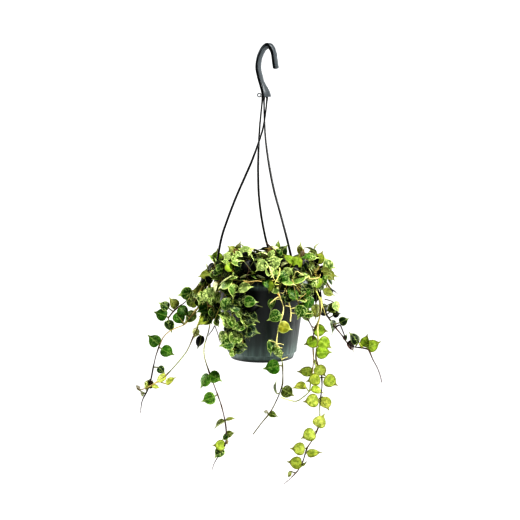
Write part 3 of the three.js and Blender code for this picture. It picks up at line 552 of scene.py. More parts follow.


# Colours: each tone's albedos, how pale (or, if negative, dark) its rim is, partly as painted highlight and
# shade, and how flecked

# Black, dark and teal are near-black tones for leaves that stand where there is only shade: painted shade.
# The brightest lime tone is given to lime leaves that fall in shade: painted light.
TONES = {
    "dark": (("0e2408", "142c09", "0a1e04"), 0.15, 0.17), "teal": (("08240f", "0c2c16"), 0.15, 0.15),
    "deep": (("325a12", "386216"), -0.2, 0.12), "green": (("284a0e", "305612", "22450c"), 0.3, 0.28),
    "bright": (("46701e", "4c7624"), 0.15, 0.12), "light": (("61763a", "6b8042", "576d32"), 0.5, 0.55),
    "silver": (("7a8a56", "84925f"), 0.35, 0.6), "rimmed": (("5c783c", "6c8646"), 0.9, 0.25),
    "lime": (("9eab50", "a8b25c", "96a04a"), -0.8, 0.0), "limegreen": (("869c3a", "8ea240"), -0.7, 0.0),
    "sun": (("b6bc68", "b0b45c"), -0.5, 0.0), "mustard": (("9e9c3c", "96943a"), 0.4, 0.0),
    "pale": (("cccea0", "c4c694"), -0.3, 0.0), "olive": (("767a38", "6c7034"), -0.2, 0.1),
    "drab": (("3e4a17", "464f1a"), -0.2, 0.12), "black": (("040604",), 0.0, 0.0),
    "brown": (("6a5430", "725c36"), -0.1, 0.0), "rust": (("2e0c06",), -0.2, 0.0),
    "bud": (("908a80", "88827a"), 0.0, 0.0),
}
BARK = {"cream": "d6cc8c", "yellow": "cdd07a", "tan": "ae9a60", "orange": "bd8f48", "moss": "7c8440",
        "green": "6f7d3c", "brown": "46301f", "dark": "1f1610", "plum": "3a2826", "lilac": "6f6466",
        "ash": "9a9494", "khaki": "4f4a28"}

# A leaf's tint and flecks are these shares of its tone's. What is added to the roll and the dip of
# a leaf of the crown is drawn with these means and spreads, in degrees.
TINT_SHARES, FLECK_SHARES = (0.85, 1.18), (1.2, 2.4)
ADDED_ROLL, ADDED_DIP = (0, 10), (4, 10)

# Each trailing vine's stem tones from root to tip
VINE_BARK = {
    "vine_left_long": "moss tan tan brown tan tan brown dark dark dark ash",
    "vine_left_short": "moss tan dark brown",
    "vine_left_low": "moss cream yellow cream yellow brown moss khaki tan brown",
    "vine_left_front": "moss brown dark cream yellow cream dark yellow brown brown brown brown plum plum "
                       "dark ash",
    "vine_front_left": "green moss moss moss tan yellow",
    "vine_front_middle": "green moss moss moss tan",
    "vine_front_tan": "moss yellow orange cream cream cream yellow cream moss khaki khaki dark khaki khaki "
                      "khaki",
    "vine_front_tan_short": "moss cream orange cream cream",
    "vine_right_yellow": "moss yellow yellow yellow yellow brown brown tan moss moss yellow",
    "vine_right_lime": "moss yellow yellow yellow brown cream moss brown dark dark moss brown brown dark "
                       "brown ash",
    "vine_right_dark": "moss dark dark dark dark dark brown brown dark brown plum lilac",
}

# Leaves read off the photo, for each trailing vine: pixel of the blade's middle, length in pixels,
# which way the tip points in degrees from right towards up, roll about the midrib, tone and, where
# the tip leans towards the viewer, its dip. A positive roll turns the upper face skywards, or to
# the right.
# Tones are partly painted light: lime leaves that fall in shade take the brightest lime tone, some green ones
# paler tones, and black, dark and teal leaves are painted shade
SEEN_LEAVES = {
    "vine_left_long": [
        (154.3, 340.6, 12.5, 138, 12, "deep"), (166.6, 351.6, 12.6, -32, -10, "deep"),
        (161, 369.8, 8, -40, 15, "teal", 10), (149.6, 384.4, 8.5, 160, 35, "drab"),
        (151, 382.6, 4.5, 60, 40, "rust"), (145.8, 385.2, 9, -105, 62, "lime"),
        (137.9, 387.6, 5, 108, 50, "bud"), (142.2, 394.4, 4.4, -52, 55, "bud"),
        (179.3, 317.8, 12.5, -55, 18, "deep"), (183, 311, 11.5, -38, 30, "deep", 10),
        (190.6, 317.2, 13.5, 214, 40, "light")],
    "vine_left_short": [
        (186.6, 293.8, 13, 190, 10, "green"), (191, 299, 11, -100, 30, "silver", 10),
        (172.8, 303.8, 11, 122, 38, "olive"), (164.6, 305.8, 10, 150, 20, "green"),
        (161.4, 314.4, 12, 160, 12, "deep"), (169.6, 325.4, 11.5, -78, -25, "green")],
    "vine_left_low": [
        (195.7, 332.6, 9.5, -112, 40, "pale"), (199.8, 341.2, 12, -100, 50, "black"),
        (161.2, 378.4, 12, 212, 58, "sun"), (169.8, 380.8, 10.5, 38, 64, "sun"),
        (155.4, 386.6, 7.5, -12, 70, "sun")],
    "vine_left_front": [
        (214.6, 377.2, 12.6, -30, 8, "bright"), (204.8, 380, 14, 228, 50, "bright"),
        (209.4, 398.4, 12.6, 202, 10, "bright"), (229.8, 418.8, 8.5, 12, 80, "olive"),
        (220.6, 424.6, 11.5, 216, 79, "drab"), (229.2, 434, 8.5, 18, 50, "drab"),
        (225.2, 436.8, 7, 216, 45, "green"), (227, 442, 5, -80, 60, "brown"),
        (220, 445, 11, 182, 8, "lime"), (219.4, 452.6, 11.5, 222, 34, "green", 6)],
    "vine_front_left": [
        (226.6, 304.6, 14.5, -98, 28, "green"), (236, 307.4, 13.5, -30, 28, "green"),
        (229.6, 322.4, 13.5, -58, 6, "light"), (223, 336.6, 11.5, -118, 42, "light"),
        (234.6, 337.6, 14.5, -104, 16, "light"), (227.6, 343.6, 13.5, 196, 12, "green", 8),
        (224.6, 316.4, 10.5, 160, 30, "light"), (232.4, 329.6, 11, -130, 35, "dark"),
        (233, 347.4, 8, -80, 40, "light")],
    "vine_front_middle": [
        (244.6, 301.6, 14, -84, 20, "dark"), (250, 303, 12.5, 4, 34, "green"),
        (238.6, 314.4, 8, -60, 30, "light"), (247, 321.6, 14, -22, 6, "light"),
        (246.6, 332, 11.5, -96, 20, "dark"), (241.2, 343, 11.5, -30, 18, "dark"),
        (239.6, 327.4, 11, 200, 30, "green"), (246.4, 311.6, 10.5, -40, 40, "dark"),
        (240, 295.6, 12, 200, 30, "dark")],
    "vine_front_tan": [
        (275.4, 317.2, 13.5, 204, 28, "green"), (273.4, 304.6, 11.5, -108, 52, "green"),
        (284.4, 327.4, 12.4, -18, 6, "mustard"), (270.4, 346.4, 14, -76, 56, "green"),
        (277.2, 352.6, 12.5, -70, -50, "light"), (272.6, 367, 14.6, 192, 10, "deep"),
        (275.8, 388.4, 11.5, 102, 80, "drab"), (287.4, 392, 12.4, -32, 8, "drab"),
        (272.8, 414.8, 8.5, -6, 50, "drab"), (266, 411.6, 4, 160, 40, "bud")],
    "vine_front_tan_short": [
        (293, 296.2, 11, -42, 34, "deep"), (300.6, 311.4, 13, -112, 10, "green"),
        (285.6, 298, 10, -90, 25, "dark")],
    "vine_right_yellow": [
        (319.6, 330, 12.4, -8, 4, "limegreen"), (311.8, 342, 12.2, 200, 6, "limegreen"),
        (316.4, 364.2, 9.5, -66, 68, "lime"), (306, 371, 13.4, 196, -34, "lime"),
        (300.4, 388.2, 12.6, 184, 62, "sun"), (316.4, 390.2, 11.6, -10, 62, "lime")],
    "vine_right_lime": [
        (324.4, 343.4, 13.4, -34, 6, "limegreen"), (322.8, 352.4, 13.6, -4, -4, "limegreen"),
        (320.6, 370.4, 12.6, -58, -14, "lime"), (314.2, 379.4, 12.4, 196, 8, "lime"),
        (330.2, 381, 13.4, -32, 8, "lime"), (312, 400.6, 13.4, 190, 6, "lime"),
        (324.8, 403, 13.6, -72, -30, "sun"), (319.8, 421, 13.2, 58, 4, "sun"),
        (309, 435, 13.4, 205, 10, "lime"), (298.8, 448.8, 12.8, 180, 6, "lime"),
        (313, 452.2, 13.4, 14, 62, "lime"), (295.6, 462.6, 12.8, 178, 6, "lime"),
        (289.2, 473.8, 6.4, 236, 66, "olive"), (303.6, 464, 5, 40, 66, "olive")],
    "vine_right_dark": [
        (331.8, 308.8, 9.5, 200, 20, "drab"), (336, 306.4, 10, -50, 40, "silver"),
        (334, 310, 9, -60, 60, "drab"), (336.2, 314.4, 7, 20, 40, "black"),
        (332.6, 326.2, 12.5, -74, 56, "dark"), (343.4, 321, 9, 25, 10, "dark"),
        (354.4, 338.6, 12.5, 124, 42, "dark"), (350.8, 345.8, 10.5, -48, 45, "rust"),
        (361, 344.8, 6.5, 130, 50, "lime"), (372.6, 345.2, 13.4, 18, -12, "limegreen"),
        (367.2, 341.8, 12, 86, 48, "limegreen"), (345.4, 337.6, 5.5, 80, 50, "teal"),
        (324, 309, 11, -78, 50, "dark")],
}

# Leaves of the crown, read off the photo in the same way, with their layer from the front after
# the tone
# Tones are partly painted light: leaves that fall in shade take paler tones, and black, dark and teal leaves
# are painted shade
CROWN_LEAVES = [
    (217.6, 257.4, 12.5, 95, 12, "limegreen", 6), (214.2, 258.6, 10, 140, 30, "silver", 5.8),
    (229.6, 257.4, 12.5, 200, 26, "silver", 1, 10), (237.4, 257.4, 12.5, -20, 30, "light", 1.2, 10),
    (246.6, 251.4, 12.5, 30, 30, "silver", 2), (240.8, 248.4, 11, 90, 50, "olive", 3),
    (233, 250, 9.5, 130, 40, "olive", 3), (244, 247.6, 9, 120, 66, "light", 2.6),
    (236, 251.6, 6.5, -70, 60, "brown", 0.6), (229.6, 267.6, 10, -50, 30, "limegreen", 0),
    (225, 263.4, 8, 150, 60, "light", 0.6), (234.6, 264.4, 8, -30, 66, "light", 0.2),
    (240.2, 268.8, 12.5, -100, 10, "teal", 1), (221, 268.6, 11, -80, 30, "green", 1),
    (217, 272.4, 9, 20, 60, "green", 1.4), (205, 275.2, 10.4, 185, 40, "olive", 2),
    (203.4, 279.4, 7, 215, 60, "black", 2.4), (213.6, 274.4, 9, -40, 52, "light", 1.6),
    (216.4, 278, 8, 190, 60, "light", 1.6), (210.6, 267, 9.5, 218, 74, "black", 3),
    (227.4, 278, 15, 200, 96, "pale", 0), (226, 282.6, 16, 203, 60, "rimmed", 0.2),
    (236, 275.4, 9, -60, 40, "green", 1), (244.4, 275.6, 10.5, 32, 98, "pale", 0.8),
    (253, 280.6, 11, 175, 100, "drab", 0.8), (244.4, 287.4, 13.6, 12, 40, "silver", 0, 10),
    (239.4, 290.8, 9, 200, 60, "silver", 0.2), (233, 290.4, 13, -75, 36, "rimmed", 0.3),
    (226.6, 291, 12, 160, 45, "green", 0.8), (215.6, 287.4, 12, -108, 56, "pale", 1),
    (208, 295.4, 14, -150, 26, "silver", 0.8), (201.6, 297.6, 12.5, -120, 36, "light", 1),
    (213, 291.6, 11, 60, 40, "silver", 1.2), (199, 290.4, 11.5, 170, 36, "olive", 2),
    (253.4, 258.4, 9, -60, 52, "light", 0.6), (262, 265.8, 13, 215, 28, "silver", 0.2, 10),
    (266.6, 262.4, 8, 60, 60, "green", 0.8), (274.6, 262.4, 13.4, 30, 24, "silver", 0),
    (272, 259.2, 11, 20, 80, "silver", 0.4), (259.4, 253.4, 15, -34, 84, "black", 3),
    (262.8, 256.4, 13, 164, 102, "pale", 2), (264.6, 250.4, 9.5, 176, 80, "black", 4),
    (270.8, 249.6, 9, 150, 76, "brown", 3.4), (277.4, 245.6, 8.5, 92, 40, "limegreen", 3),
    (275.6, 248.4, 7, 150, 50, "pale", 2.8), (282.6, 251.6, 12.6, 60, 30, "dark", 2),
    (278.4, 253.4, 9, 200, 50, "green", 2.2), (288.6, 259.2, 12, 118, 52, "limegreen", 1),
    (297, 261.8, 13, 75, 20, "limegreen", 0.6), (293.6, 259.4, 8, 150, 60, "limegreen", 1.2),
    (300.6, 250.6, 12.5, 98, 50, "mustard", 3), (302.6, 253.6, 8.5, 80, 66, "brown", 2.6),
    (284.6, 265.4, 8.5, 30, 98, "pale", 1), (288.4, 272, 10, 40, 30, "silver", 1),
    (283, 277.6, 13, 195, 36, "green", 0.4), (288.4, 281.6, 13, -10, 60, "rimmed", 0),
    (299.8, 279, 14.6, 22, 56, "rimmed", 0), (302.4, 275, 10, 14, 84, "silver", 0.1),
    (269.6, 285.4, 12, -112, 40, "limegreen", 0), (266.8, 283.4, 9, 150, 40, "deep", 0.3),
    (261.4, 278.2, 12, -20, 56, "dark", 0.8), (254.8, 276, 9, 160, 60, "green", 1),
    (311, 257.2, 12, 6, 56, "light", 2), (306, 256.6, 9, 190, 60, "bright", 2.2),
    (314, 252, 8, -30, 66, "drab", 3), (309, 248.4, 8, 140, 104, "pale", 4),
    (315.6, 247.2, 8, 66, 98, "pale", 4), (319.6, 258.4, 12, 75, 20, "lime", 2),
    (328.6, 264.6, 12, 110, 36, "light", 2), (331.4, 267.6, 9, 0, 60, "silver", 1.8),
    (326, 272, 10.6, -10, 56, "olive", 1), (329.6, 276.4, 10, -40, 36, "olive", 1),
    (321, 267, 5, 40, 60, "rust", 1.4), (318, 264.6, 4, 130, 60, "pale", 1.2),
    (310.6, 272.6, 9, -62, 100, "pale", 1), (317.4, 283, 12.6, -95, 22, "limegreen", 0),
    (323.6, 280.4, 11.5, 60, 30, "green", 0.4), (331, 281, 8, -60, 50, "dark", 2),
    (305.6, 289.4, 14, 120, 24, "dark", 0), (310.6, 293.6, 9, -60, 50, "dark", 0.4),
    (308.6, 302.6, 14.4, -96, 16, "deep", 0), (302.4, 300, 9, 160, 56, "silver", 0.3),
    (328.2, 292.4, 11, -20, 56, "olive", 1), (332, 290.2, 10, -24, 76, "black", 1.4),
    (316.6, 310.4, 13, -84, 40, "olive", 1), (316, 296.4, 11, -80, 40, "black", 1),
    (292, 292.6, 11, -60, 30, "deep", 0.5), (286.4, 286.6, 9, -110, 40, "dark", 0.8),
    (279, 281, 10, -110, 40, "dark", 0.8), (268.6, 273.6, 11, -60, 30, "black", -0.2),
    (273.6, 279, 8, 60, 50, "dark", 0.5), (303.4, 267.6, 11, -60, 30, "dark", 1.6),
    (296.4, 269.6, 8, -30, 50, "black", 0.8), (311, 266, 10, -20, 40, "drab", 1.8),
    (320, 274.6, 8, -120, 40, "black", 1.2), (293, 273.6, 8, 20, 40, "dark", 0.4),
    (193.4, 296.8, 11, -96, 40, "silver", 2), (193.6, 304.8, 5.8, 190, 20, "lime", 1.6),
    (204.6, 309.6, 13, 200, 25, "deep", 1.6), (213.6, 311.6, 12, -80, 25, "green", 1.8),
    (197.6, 303.6, 8, -40, 60, "green", 1.4), (213.4, 301.6, 11, -100, 35, "light", 1),
    (210, 305, 6, -20, 40, "brown", 0.8), (204.2, 322.4, 11.5, 208, 40, "lime", 0.4),
    (216.6, 322.6, 7.5, -60, 35, "light", 1), (217.4, 297, 10, -70, 30, "light", 1.4),
    (223, 286.4, 11, 190, 40, "dark", 1.6), (238.4, 282.4, 11, -70, 30, "black", 1.6),
    (255.6, 266.4, 12, -70, 30, "teal", 3), (247.6, 266, 12, -50, 30, "black", -0.4),
    (250, 272.6, 12, -20, 30, "black", 1.6), (251, 265.6, 10, 60, 30, "black", -0.3),
    (245.4, 262.4, 8, 200, 50, "brown", 2), (227.6, 273.4, 11, 200, 30, "dark", 1.6),
    (246, 281, 11, 20, 60, "black", 2), (205.6, 285, 9, -90, 74, "drab", 2.2),
    (202, 282.6, 6, 200, 40, "silver", 2.4), (270.4, 272, 9, 40, 60, "black", 0.9),
    (258, 272.6, 10, 200, 40, "black", 1), (304.6, 264, 10, -100, 40, "black", 1.4),
    (190.6, 303, 9, -60, 40, "silver", 1.6), (196.4, 293.6, 9, 60, 40, "silver", 1.6),
    (208, 281, 6.5, -60, 40, "light", 2), (209.6, 316.4, 11, -70, 30, "dark", 1.6),
    (205, 314.4, 10, 200, 30, "deep", 1.9), (215.4, 307, 10.5, -84, 30, "dark", 1.7),
    (216.2, 315, 10, -60, 30, "green", 1.8),
]

# Where the crown's top shows against the ground, as pixels across and down
CROWN_TOP = ((180, 300), (192, 290), (198, 275), (206, 270), (211, 254), (217, 251), (224, 253),
             (228, 248), (240, 244), (247, 247), (252, 252), (261, 254), (266, 247), (272, 250),
             (276, 243), (284, 245), (290, 253), (296, 254), (300, 246), (305, 253), (312, 248),
             (318, 250), (324, 258), (332, 263), (336, 290), (340, 310))

# Rootlets, bare twigs and forks read off the photo, for the vine whose depth they share: thickness
# in mm, tone, pixels
TWIGS = {
    "vine_front_tan": [
        (1.1, "cream", ((279.4, 296.6), (276, 298), (273, 300.6), (269.8, 303.4))),
        (1, "orange", ((277.6, 288), (277, 292.4), (279.6, 296.6))),
        (0.8, "cream", ((280.6, 292.6), (282.6, 293.2), (284.8, 291), (284.4, 289.4))),
        (0.8, "cream", ((284.6, 288), (286.4, 290.4), (286.8, 293.6))),
        (1, "cream", ((285.4, 305.6), (288, 306), (290.8, 306.8))),
        (0.8, "cream", ((277, 344), (280, 343.6), (283.6, 344.6))),
        (0.8, "cream", ((277.4, 345.2), (279.6, 347.4), (282.2, 347.8))),
        (0.8, "cream", ((280.6, 355.4), (282, 354), (283.2, 352.2))),
        (0.8, "cream", ((281.4, 359.4), (284.4, 358.2), (287.6, 357)))],
    "vine_right_dark": [
        (0.7, "brown", ((324.6, 299.4), (329, 300.2), (333.4, 302), (336.6, 304.8))),
        (1.3, "dark", ((335.2, 327.6), (337.6, 325.8), (340.2, 325.2), (342.6, 330.6), (345.6, 338.4)))],
    "vine_left_front": [
        (0.7, "brown", ((214.6, 325.6), (212.6, 329.6), (209.6, 333.6), (208.4, 335.6))),
        (0.6, "brown", ((214.8, 325.8), (217, 331.6), (219, 338), (220.2, 342.4)))],
    "vine_right_yellow": [
        (0.9, "brown", ((305, 314.2), (308.6, 320.6), (311.6, 326.2))),
        (0.7, "lilac", ((311.6, 326.2), (313, 331), (313.2, 337))),
        (0.8, "brown", ((311.8, 326.4), (314.4, 327.6), (316.4, 328.4)))],
    "vine_right_lime": [
        (0.7, "moss", ((300.4, 467.4), (303.4, 464.6), (306.6, 461.2)))],
    "vine_left_long": [
        (0.8, "cream", ((200.6, 304), (197.6, 307.4), (194.6, 311.4), (191.6, 314.6))),
        (0.7, "cream", ((199, 308), (195, 309.6), (192.6, 313)))],
    "vine_left_low": [
        (0.9, "yellow", ((207.4, 318), (208.8, 320), (211.4, 321.4)))],
}
# Each of a twig's points lies this many mm before the last one, and is thinner by this share. A
# twig that is carried on to a stem sags by this many mm on its way.
TWIG_GAP = 0.5
TWIG_TAPER = 0.12
TWIG_SAG = 2

# Bare stems that cross the crown's front, half a layer before it: thickness in mm, tone, pixels
CROWN_TWIG_LAYER = -0.5
CROWN_TWIGS = [
    (1, "cream", ((269.2, 266), (270.6, 270.6), (272.6, 275.6), (274, 279))),
    (1.1, "yellow", ((279.4, 267.6), (279.6, 273), (277.6, 278), (274.6, 283.6))),
    (0.9, "tan", ((308.4, 278.6), (313.6, 278.8), (318.6, 277.4), (320.4, 274.2))),
    (0.9, "tan", ((243, 280.4), (250, 281.6), (257, 280.8), (262, 281.6))),
    (0.5, "tan", ((297.4, 300.6), (300.6, 297.6), (304.6, 294.6), (308.4, 291.4))),
    (0.9, "brown", ((266.4, 243), (269.4, 245.6), (272.6, 248.6), (275.6, 251.6))),
    (0.7, "cream", ((296, 271), (300, 273), (303.6, 275.6))),
    (0.8, "brown", ((243, 262.6), (247, 265.6), (249, 270.6), (246.6, 275.6))),
]


def facing(angle, roll, dip):
    """Directions of a blade's tip and upper face from how it lies in the view."""
    turn, dip, roll = math.radians(angle), math.radians(dip), math.radians(roll)
    flat, viewer = Vector((math.cos(turn), 0, math.sin(turn))), Vector((0, -1, 0))
    forward = flat * math.cos(dip) + viewer * math.sin(dip)
    up = viewer * math.cos(dip) - flat * math.sin(dip)
    left = up.cross(forward)
    side = -1 if left.z < -0.25 else 1
    return forward, up * math.cos(roll) + left * side * math.sin(roll)


# The crown's front is a dome round the middle of the pot's top, and FLATTEST keeps its edge from
# falling away. Leaves lie in layers behind it.
DOME_HALF_WIDTH, DOME_HALF_DEPTH, DOME_HEIGHT = 0.105, 0.092, 0.062
FLATTEST = 0.04
LAYER_DEPTH = 0.009


def rises_over_crown(point, spare):
    """Whether a point shows less than spare pixels below the crown's top."""
    px, py = pixel_of(point)
    return py < np.interp(px, *zip(*CROWN_TOP)) + spare


def crown_depth(px, py, layer):
    """Depth of a layer of the crown's domed front at a pixel."""
    place = seen_at(px, py, 0)
    across, up = (place.x - POT_X) / DOME_HALF_WIDTH, max(0, place.z - POT_TOP) / DOME_HEIGHT
    return -DOME_HALF_DEPTH * math.sqrt(max(FLATTEST, 1 - across ** 2 - up ** 2)) + LAYER_DEPTH * layer


class Growth:
    """Lines and leaves of one piece, gathered for the growth tree."""

    KINDS = {"width": "FLOAT", "size": "FLOAT", "fleck": "FLOAT", "rim": "FLOAT", "form": "INT",
             "is_leaf": "BOOLEAN", "turn": "QUATERNION", "tint": "FLOAT_COLOR"}

    def __init__(self, name):
        self.name, self.draw = name, random.Random(name)
        self.points, self.edges, self.facts = [], [], {key: [] for key in self.KINDS}

    def add_point(self, point, tint, width=0.0, size=0.0, fleck=0.0, rim=0.0, form=0, is_leaf=False,
                  turn=(1, 0, 0, 0)):
        self.points.append(tuple(point))
        for key, value in (("width", width), ("size", size), ("fleck", fleck), ("rim", rim), ("form", form),
                           ("is_leaf", is_leaf), ("turn", tuple(turn)), ("tint", (*tint, 1.0))):
            self.facts[key].append(value)

    def add_line(self, points, widths, tints):
        first = len(self.points)
        for point, width, tint in zip(points, widths, tints):
            self.add_point(point, tint, width=width)
        self.edges += [(first + i, first + i + 1) for i in range(len(points) - 1)]

    def add_leaf(self, base, forward, up, length, tone):
        """A leaf whose exact tint, flecks and form are drawn at random within its tone."""
        codes, rim, fleck = TONES[tone]
        tint = Vector(linear(self.draw.choice(codes))) * self.draw.uniform(*TINT_SHARES)
        left = up.cross(forward).normalized()
        turn = Matrix((forward, left, forward.cross(left))).transposed().to_quaternion()
        form = self.draw.choices(range(len(LEAF_FORMS)), FORM_WEIGHTS)[0]
        self.add_point(base, tint, size=length, fleck=fleck * self.draw.uniform(*FLECK_SHARES), rim=rim,
                       form=form, is_leaf=True, turn=turn)

    def add_petiole(self, start, base, forward, up, length, tint):
        """A short stalk from the stem to under the blade."""
        bend = start.lerp(base, 0.6) - up * 0.05 * length
        end = base + forward * 0.1 * length
        self.add_line([start, bend, base, end], PETIOLE_RADII, [tint] * 4)

    def build(self, tree):
        mesh = bpy.data.meshes.new(self.name)
        mesh.from_pydata(self.points, self.edges, [])
        for key, kind in self.KINDS.items():
            field = "color" if kind == "FLOAT_COLOR" else "value"
            mesh.attributes.new(key, kind, "POINT").data.foreach_set(field, np.array(self.facts[key]).ravel())
        piece = new_object(self.name, mesh)
        settings = bpy.context.scene.hoya_plant
        run_tree(piece, tree, Stem_Sides=settings.stem_sides, Stem_Scale=settings.stem_scale,
                 Leaf_Scale=settings.leaf_scale)
        return piece


def bark_tints(names, count):
    """Colours from root to tip, one for each point, blended between the named tones."""
    tones = [Vector(linear(BARK[name])) for name in names.split()]
    tints = []
    for i in range(count):
        place = i / max(count - 1, 1) * (len(tones) - 1)
        k = min(int(place), len(tones) - 2)
        tints.append(tones[k].lerp(tones[k + 1], place - k))
    return tints


# Stems beside the solids': joints are thicker and the rest slimmer, but never thinner than this
NODE_SWELL = 1.5
STEM_SLIMNESS = 0.8
THINNEST_STEM = 0.72 * MM
CROWN_BARK = "green moss tan"
# Radii along a leaf's stalk, how green it is, and the part of the blade that lies before its middle
PETIOLE_RADII = [0.9 * MM, 0.85 * MM, 0.75 * MM, 0.4 * MM]
PETIOLE_GREEN = 0.4
BLADE_FORE = 0.48
# How far in mm a vine's seen leaves stand before or behind its stem
LEAF_DEPTHS = (-4, 3)
# Black, dark and teal leaves in these lists are near-black: painted shade among the leaves
# Tones of leaves in the crown's shade, and of those that the photo doesn't show
SHADE_TONES = ("black", "dark", "black", "teal")
HIDDEN_TONES = ("green", "dark", "green", "light", "dark", "drab")
# Tones of small leaves among the crown's pale leaves, among its dark ones, and on the vines
SCATTER = ("green", "black", "dark", "light", "dark")
DEEP_SCATTER = ("dark", "black", "drab", "teal", "black")
VINE_SCATTER = ("green", "light", "dark")
DEEP_TONES = ("dark", "black", "drab", "teal", "brown", "rust")
# Small leaves' spread in pixels, their size against the seen leaf's, their roll in degrees, and the
# nearest layer from that of a dark and of a pale leaf, with the layers that they spread over
SCATTER_SPREAD, SCATTER_SIZES, SCATTER_ROLLS = 4, (0.6, 0.95), (20, 80)
BEHIND_DEEP, BEHIND_PALE, SCATTER_LAYERS = 0.4, -0.4, 1.5
# Vines with more leaves than can be told apart, and how many small ones they get
DENSE_VINES = {"vine_front_left": 14, "vine_front_middle": 12, "vine_front_tan_short": 3}
# Pixels left clear of small leaves: the pot's left edge, a hollow, the rim below it and the wall
CLEAR = ((216, 289, 225, 336), (243, 261, 257, 281), (243, 281, 269, 296), (254, 296, 268, 350))
# The layer behind which the solids' own leaves stay, and pixels that leaves stay below the crown's
# top: the solids' own, small and filling ones
OWN_LAYER = 1.5
OWN_BELOW, SCATTER_BELOW, FILL_BELOW = 5, 4, 7


def grow_stem(growth, node):
    """The node's own stem, with its joints swollen. Returns its points and their tints."""
    line = PLANTS[node][1]
    tints = bark_tints(VINE_BARK.get(node, CROWN_BARK), len(line))
    widths = [max(THINNEST_STEM, radius * STEM_SLIMNESS) * (NODE_SWELL if joint else 1)
              for _, radius, joint in line]
    growth.add_line([point for point, _, _ in line], widths, tints)
    return [(point, tint) for (point, _, _), tint in zip(line, tints)]


def nearest(stem, place):
    """The stem's point nearest a place, and its tint."""
    return min(stem, key=lambda s: (s[0] - place).length)


def depth_beside(stem, pixel):
    """The depth of the stem's point that shows nearest a pixel."""
    return min(stem, key=lambda s: (pixel_of(s[0]) - Vector(pixel)).length)[0].y


def grow_own_leaves(growth, node, stem, tones):
    """Leaves where the node's solid has its blades, but for those that would hide the seen ones."""
    for blade in PLANTS[node][0]:
        base, forward, up, length = (blade[k] for k in ("base", "forward", "up", "length"))
        if base.y < crown_depth(*pixel_of(base), OWN_LAYER):
            continue
        if rises_over_crown(base + forward * length * 0.5, OWN_BELOW):
            continue
        start, tint = nearest(stem, blade["root"])
        growth.add_petiole(start, base, forward, up, length, tint)
        growth.add_leaf(base, forward, up, length, growth.draw.choice(tones))


def grow_seen_leaf(growth, stem, leaf, depth=None):
    """A leaf read off the photo, on a stalk from the nearest point of the stem."""
    px, py, pixels, angle, roll, tone, dip = (*leaf, 0)[:7]
    forward, up = facing(angle, roll, dip)
    if depth is None:
        depth = depth_beside(stem, (px, py)) + growth.draw.uniform(*LEAF_DEPTHS) * MM
    middle = seen_at(px, py, depth)
    length = pixels * (depth - CAMERA_PLACE.y) / VIEW_FOCUS
    base = middle - forward * length * BLADE_FORE
    start, tint = nearest(stem, base)
    greened = tint.lerp(Vector(linear(BARK["moss"])), PETIOLE_GREEN)
    growth.add_petiole(start, base, forward, up, length, greened)
    growth.add_leaf(base, forward, up, length, tone)


def grow_twig(growth, width, tone, places):
    """A twig through places, a little nearer the viewer and thinner from one to the next."""
    points = [place - Vector((0, i * TWIG_GAP * MM, 0)) for i, place in enumerate(places)]
    growth.add_line(points, [width * MM * (1 - TWIG_TAPER * i) for i in range(len(points))],
                    bark_tints(f"{tone} {tone}", len(points)))


def joined_to(stem, places):
    """The places, with the end that is nearer the stem carried on to it."""
    def gap(way):
        return (nearest(stem, way[-1])[0] - way[-1]).length

    places = min(places, places[::-1], key=gap)
    root = nearest(stem, places[-1])[0]
    halfway = places[-1].lerp(root, 0.5) - Vector((0, 0, TWIG_SAG * MM))
    return [*places, halfway, root]


def grow_twigs(growth, node, stem):
    """The node's twigs, at the depth of its stem."""
    for width, tone, pixels in TWIGS.get(node, ()):
        depth = depth_beside(stem, pixels[0]) - TWIG_GAP * MM
        grow_twig(growth, width, tone, [seen_at(*pixel, depth) for pixel in pixels])


def scatter_leaves(growth, stem, seen, count, in_crown=False):
    """Small leaves that stand among seen ones and mostly share their tones."""
    draw = growth.draw
    for _ in range(count):
        px, py, pixels, _, _, tone, *rest = draw.choice(seen)
        px, py = px + draw.gauss(0, SCATTER_SPREAD), py + draw.gauss(0, SCATTER_SPREAD)
        spare = DEEP_SCATTER if tone in DEEP_TONES else SCATTER if in_crown else VINE_SCATTER
        tone = draw.choice((tone, tone, *spare))
        leaf = (px, py, pixels * draw.uniform(*SCATTER_SIZES), draw.uniform(0, 360),
                draw.uniform(*SCATTER_ROLLS), tone)
        clear = any(x0 < px < x1 and y0 < py < y1 for x0, y0, x1, y1 in CLEAR)
        if clear or rises_over_crown(seen_at(px, py, 0), SCATTER_BELOW):
            continue
        depth = None
        if in_crown:
            front = BEHIND_DEEP if tone in DEEP_TONES else BEHIND_PALE
            depth = crown_depth(px, py, rest[0] + draw.uniform(front, front + SCATTER_LAYERS))
        grow_seen_leaf(growth, stem, leaf, depth)


# The mound that leaves fill: its half sizes in metres, less tall below its middle, which stands
# this far over the pot's top, how steeply they rise from there in radians, and how far out they
# reach at the front and elsewhere
MOUND = (0.092, 0.088, 0.05)
MOUND_BELOW = 0.03
MOUND_RAISED = 6 * MM
MOUND_RISES = (-0.45, 1.35)
FRONT_REACH, SIDE_REACH = (0.45, 0.72), (0.6, 1.0)
# Turns whose sine is less than this are at the front
FRONT = -0.2
# The leaves over the mound's middle: their circle's radius in metres, and heights in mm over the
# pot's top. Their upper faces spread like a shuttlecock's feathers.
ROOF_RADIUS = 0.07
ROOF_HEIGHTS = (20, 36)
ROOF_SPREAD = 5
# Leaves below the rim keep out of the pot's wall
WALL_RADIUS = 0.074
FILL_LENGTHS = (14, 20)


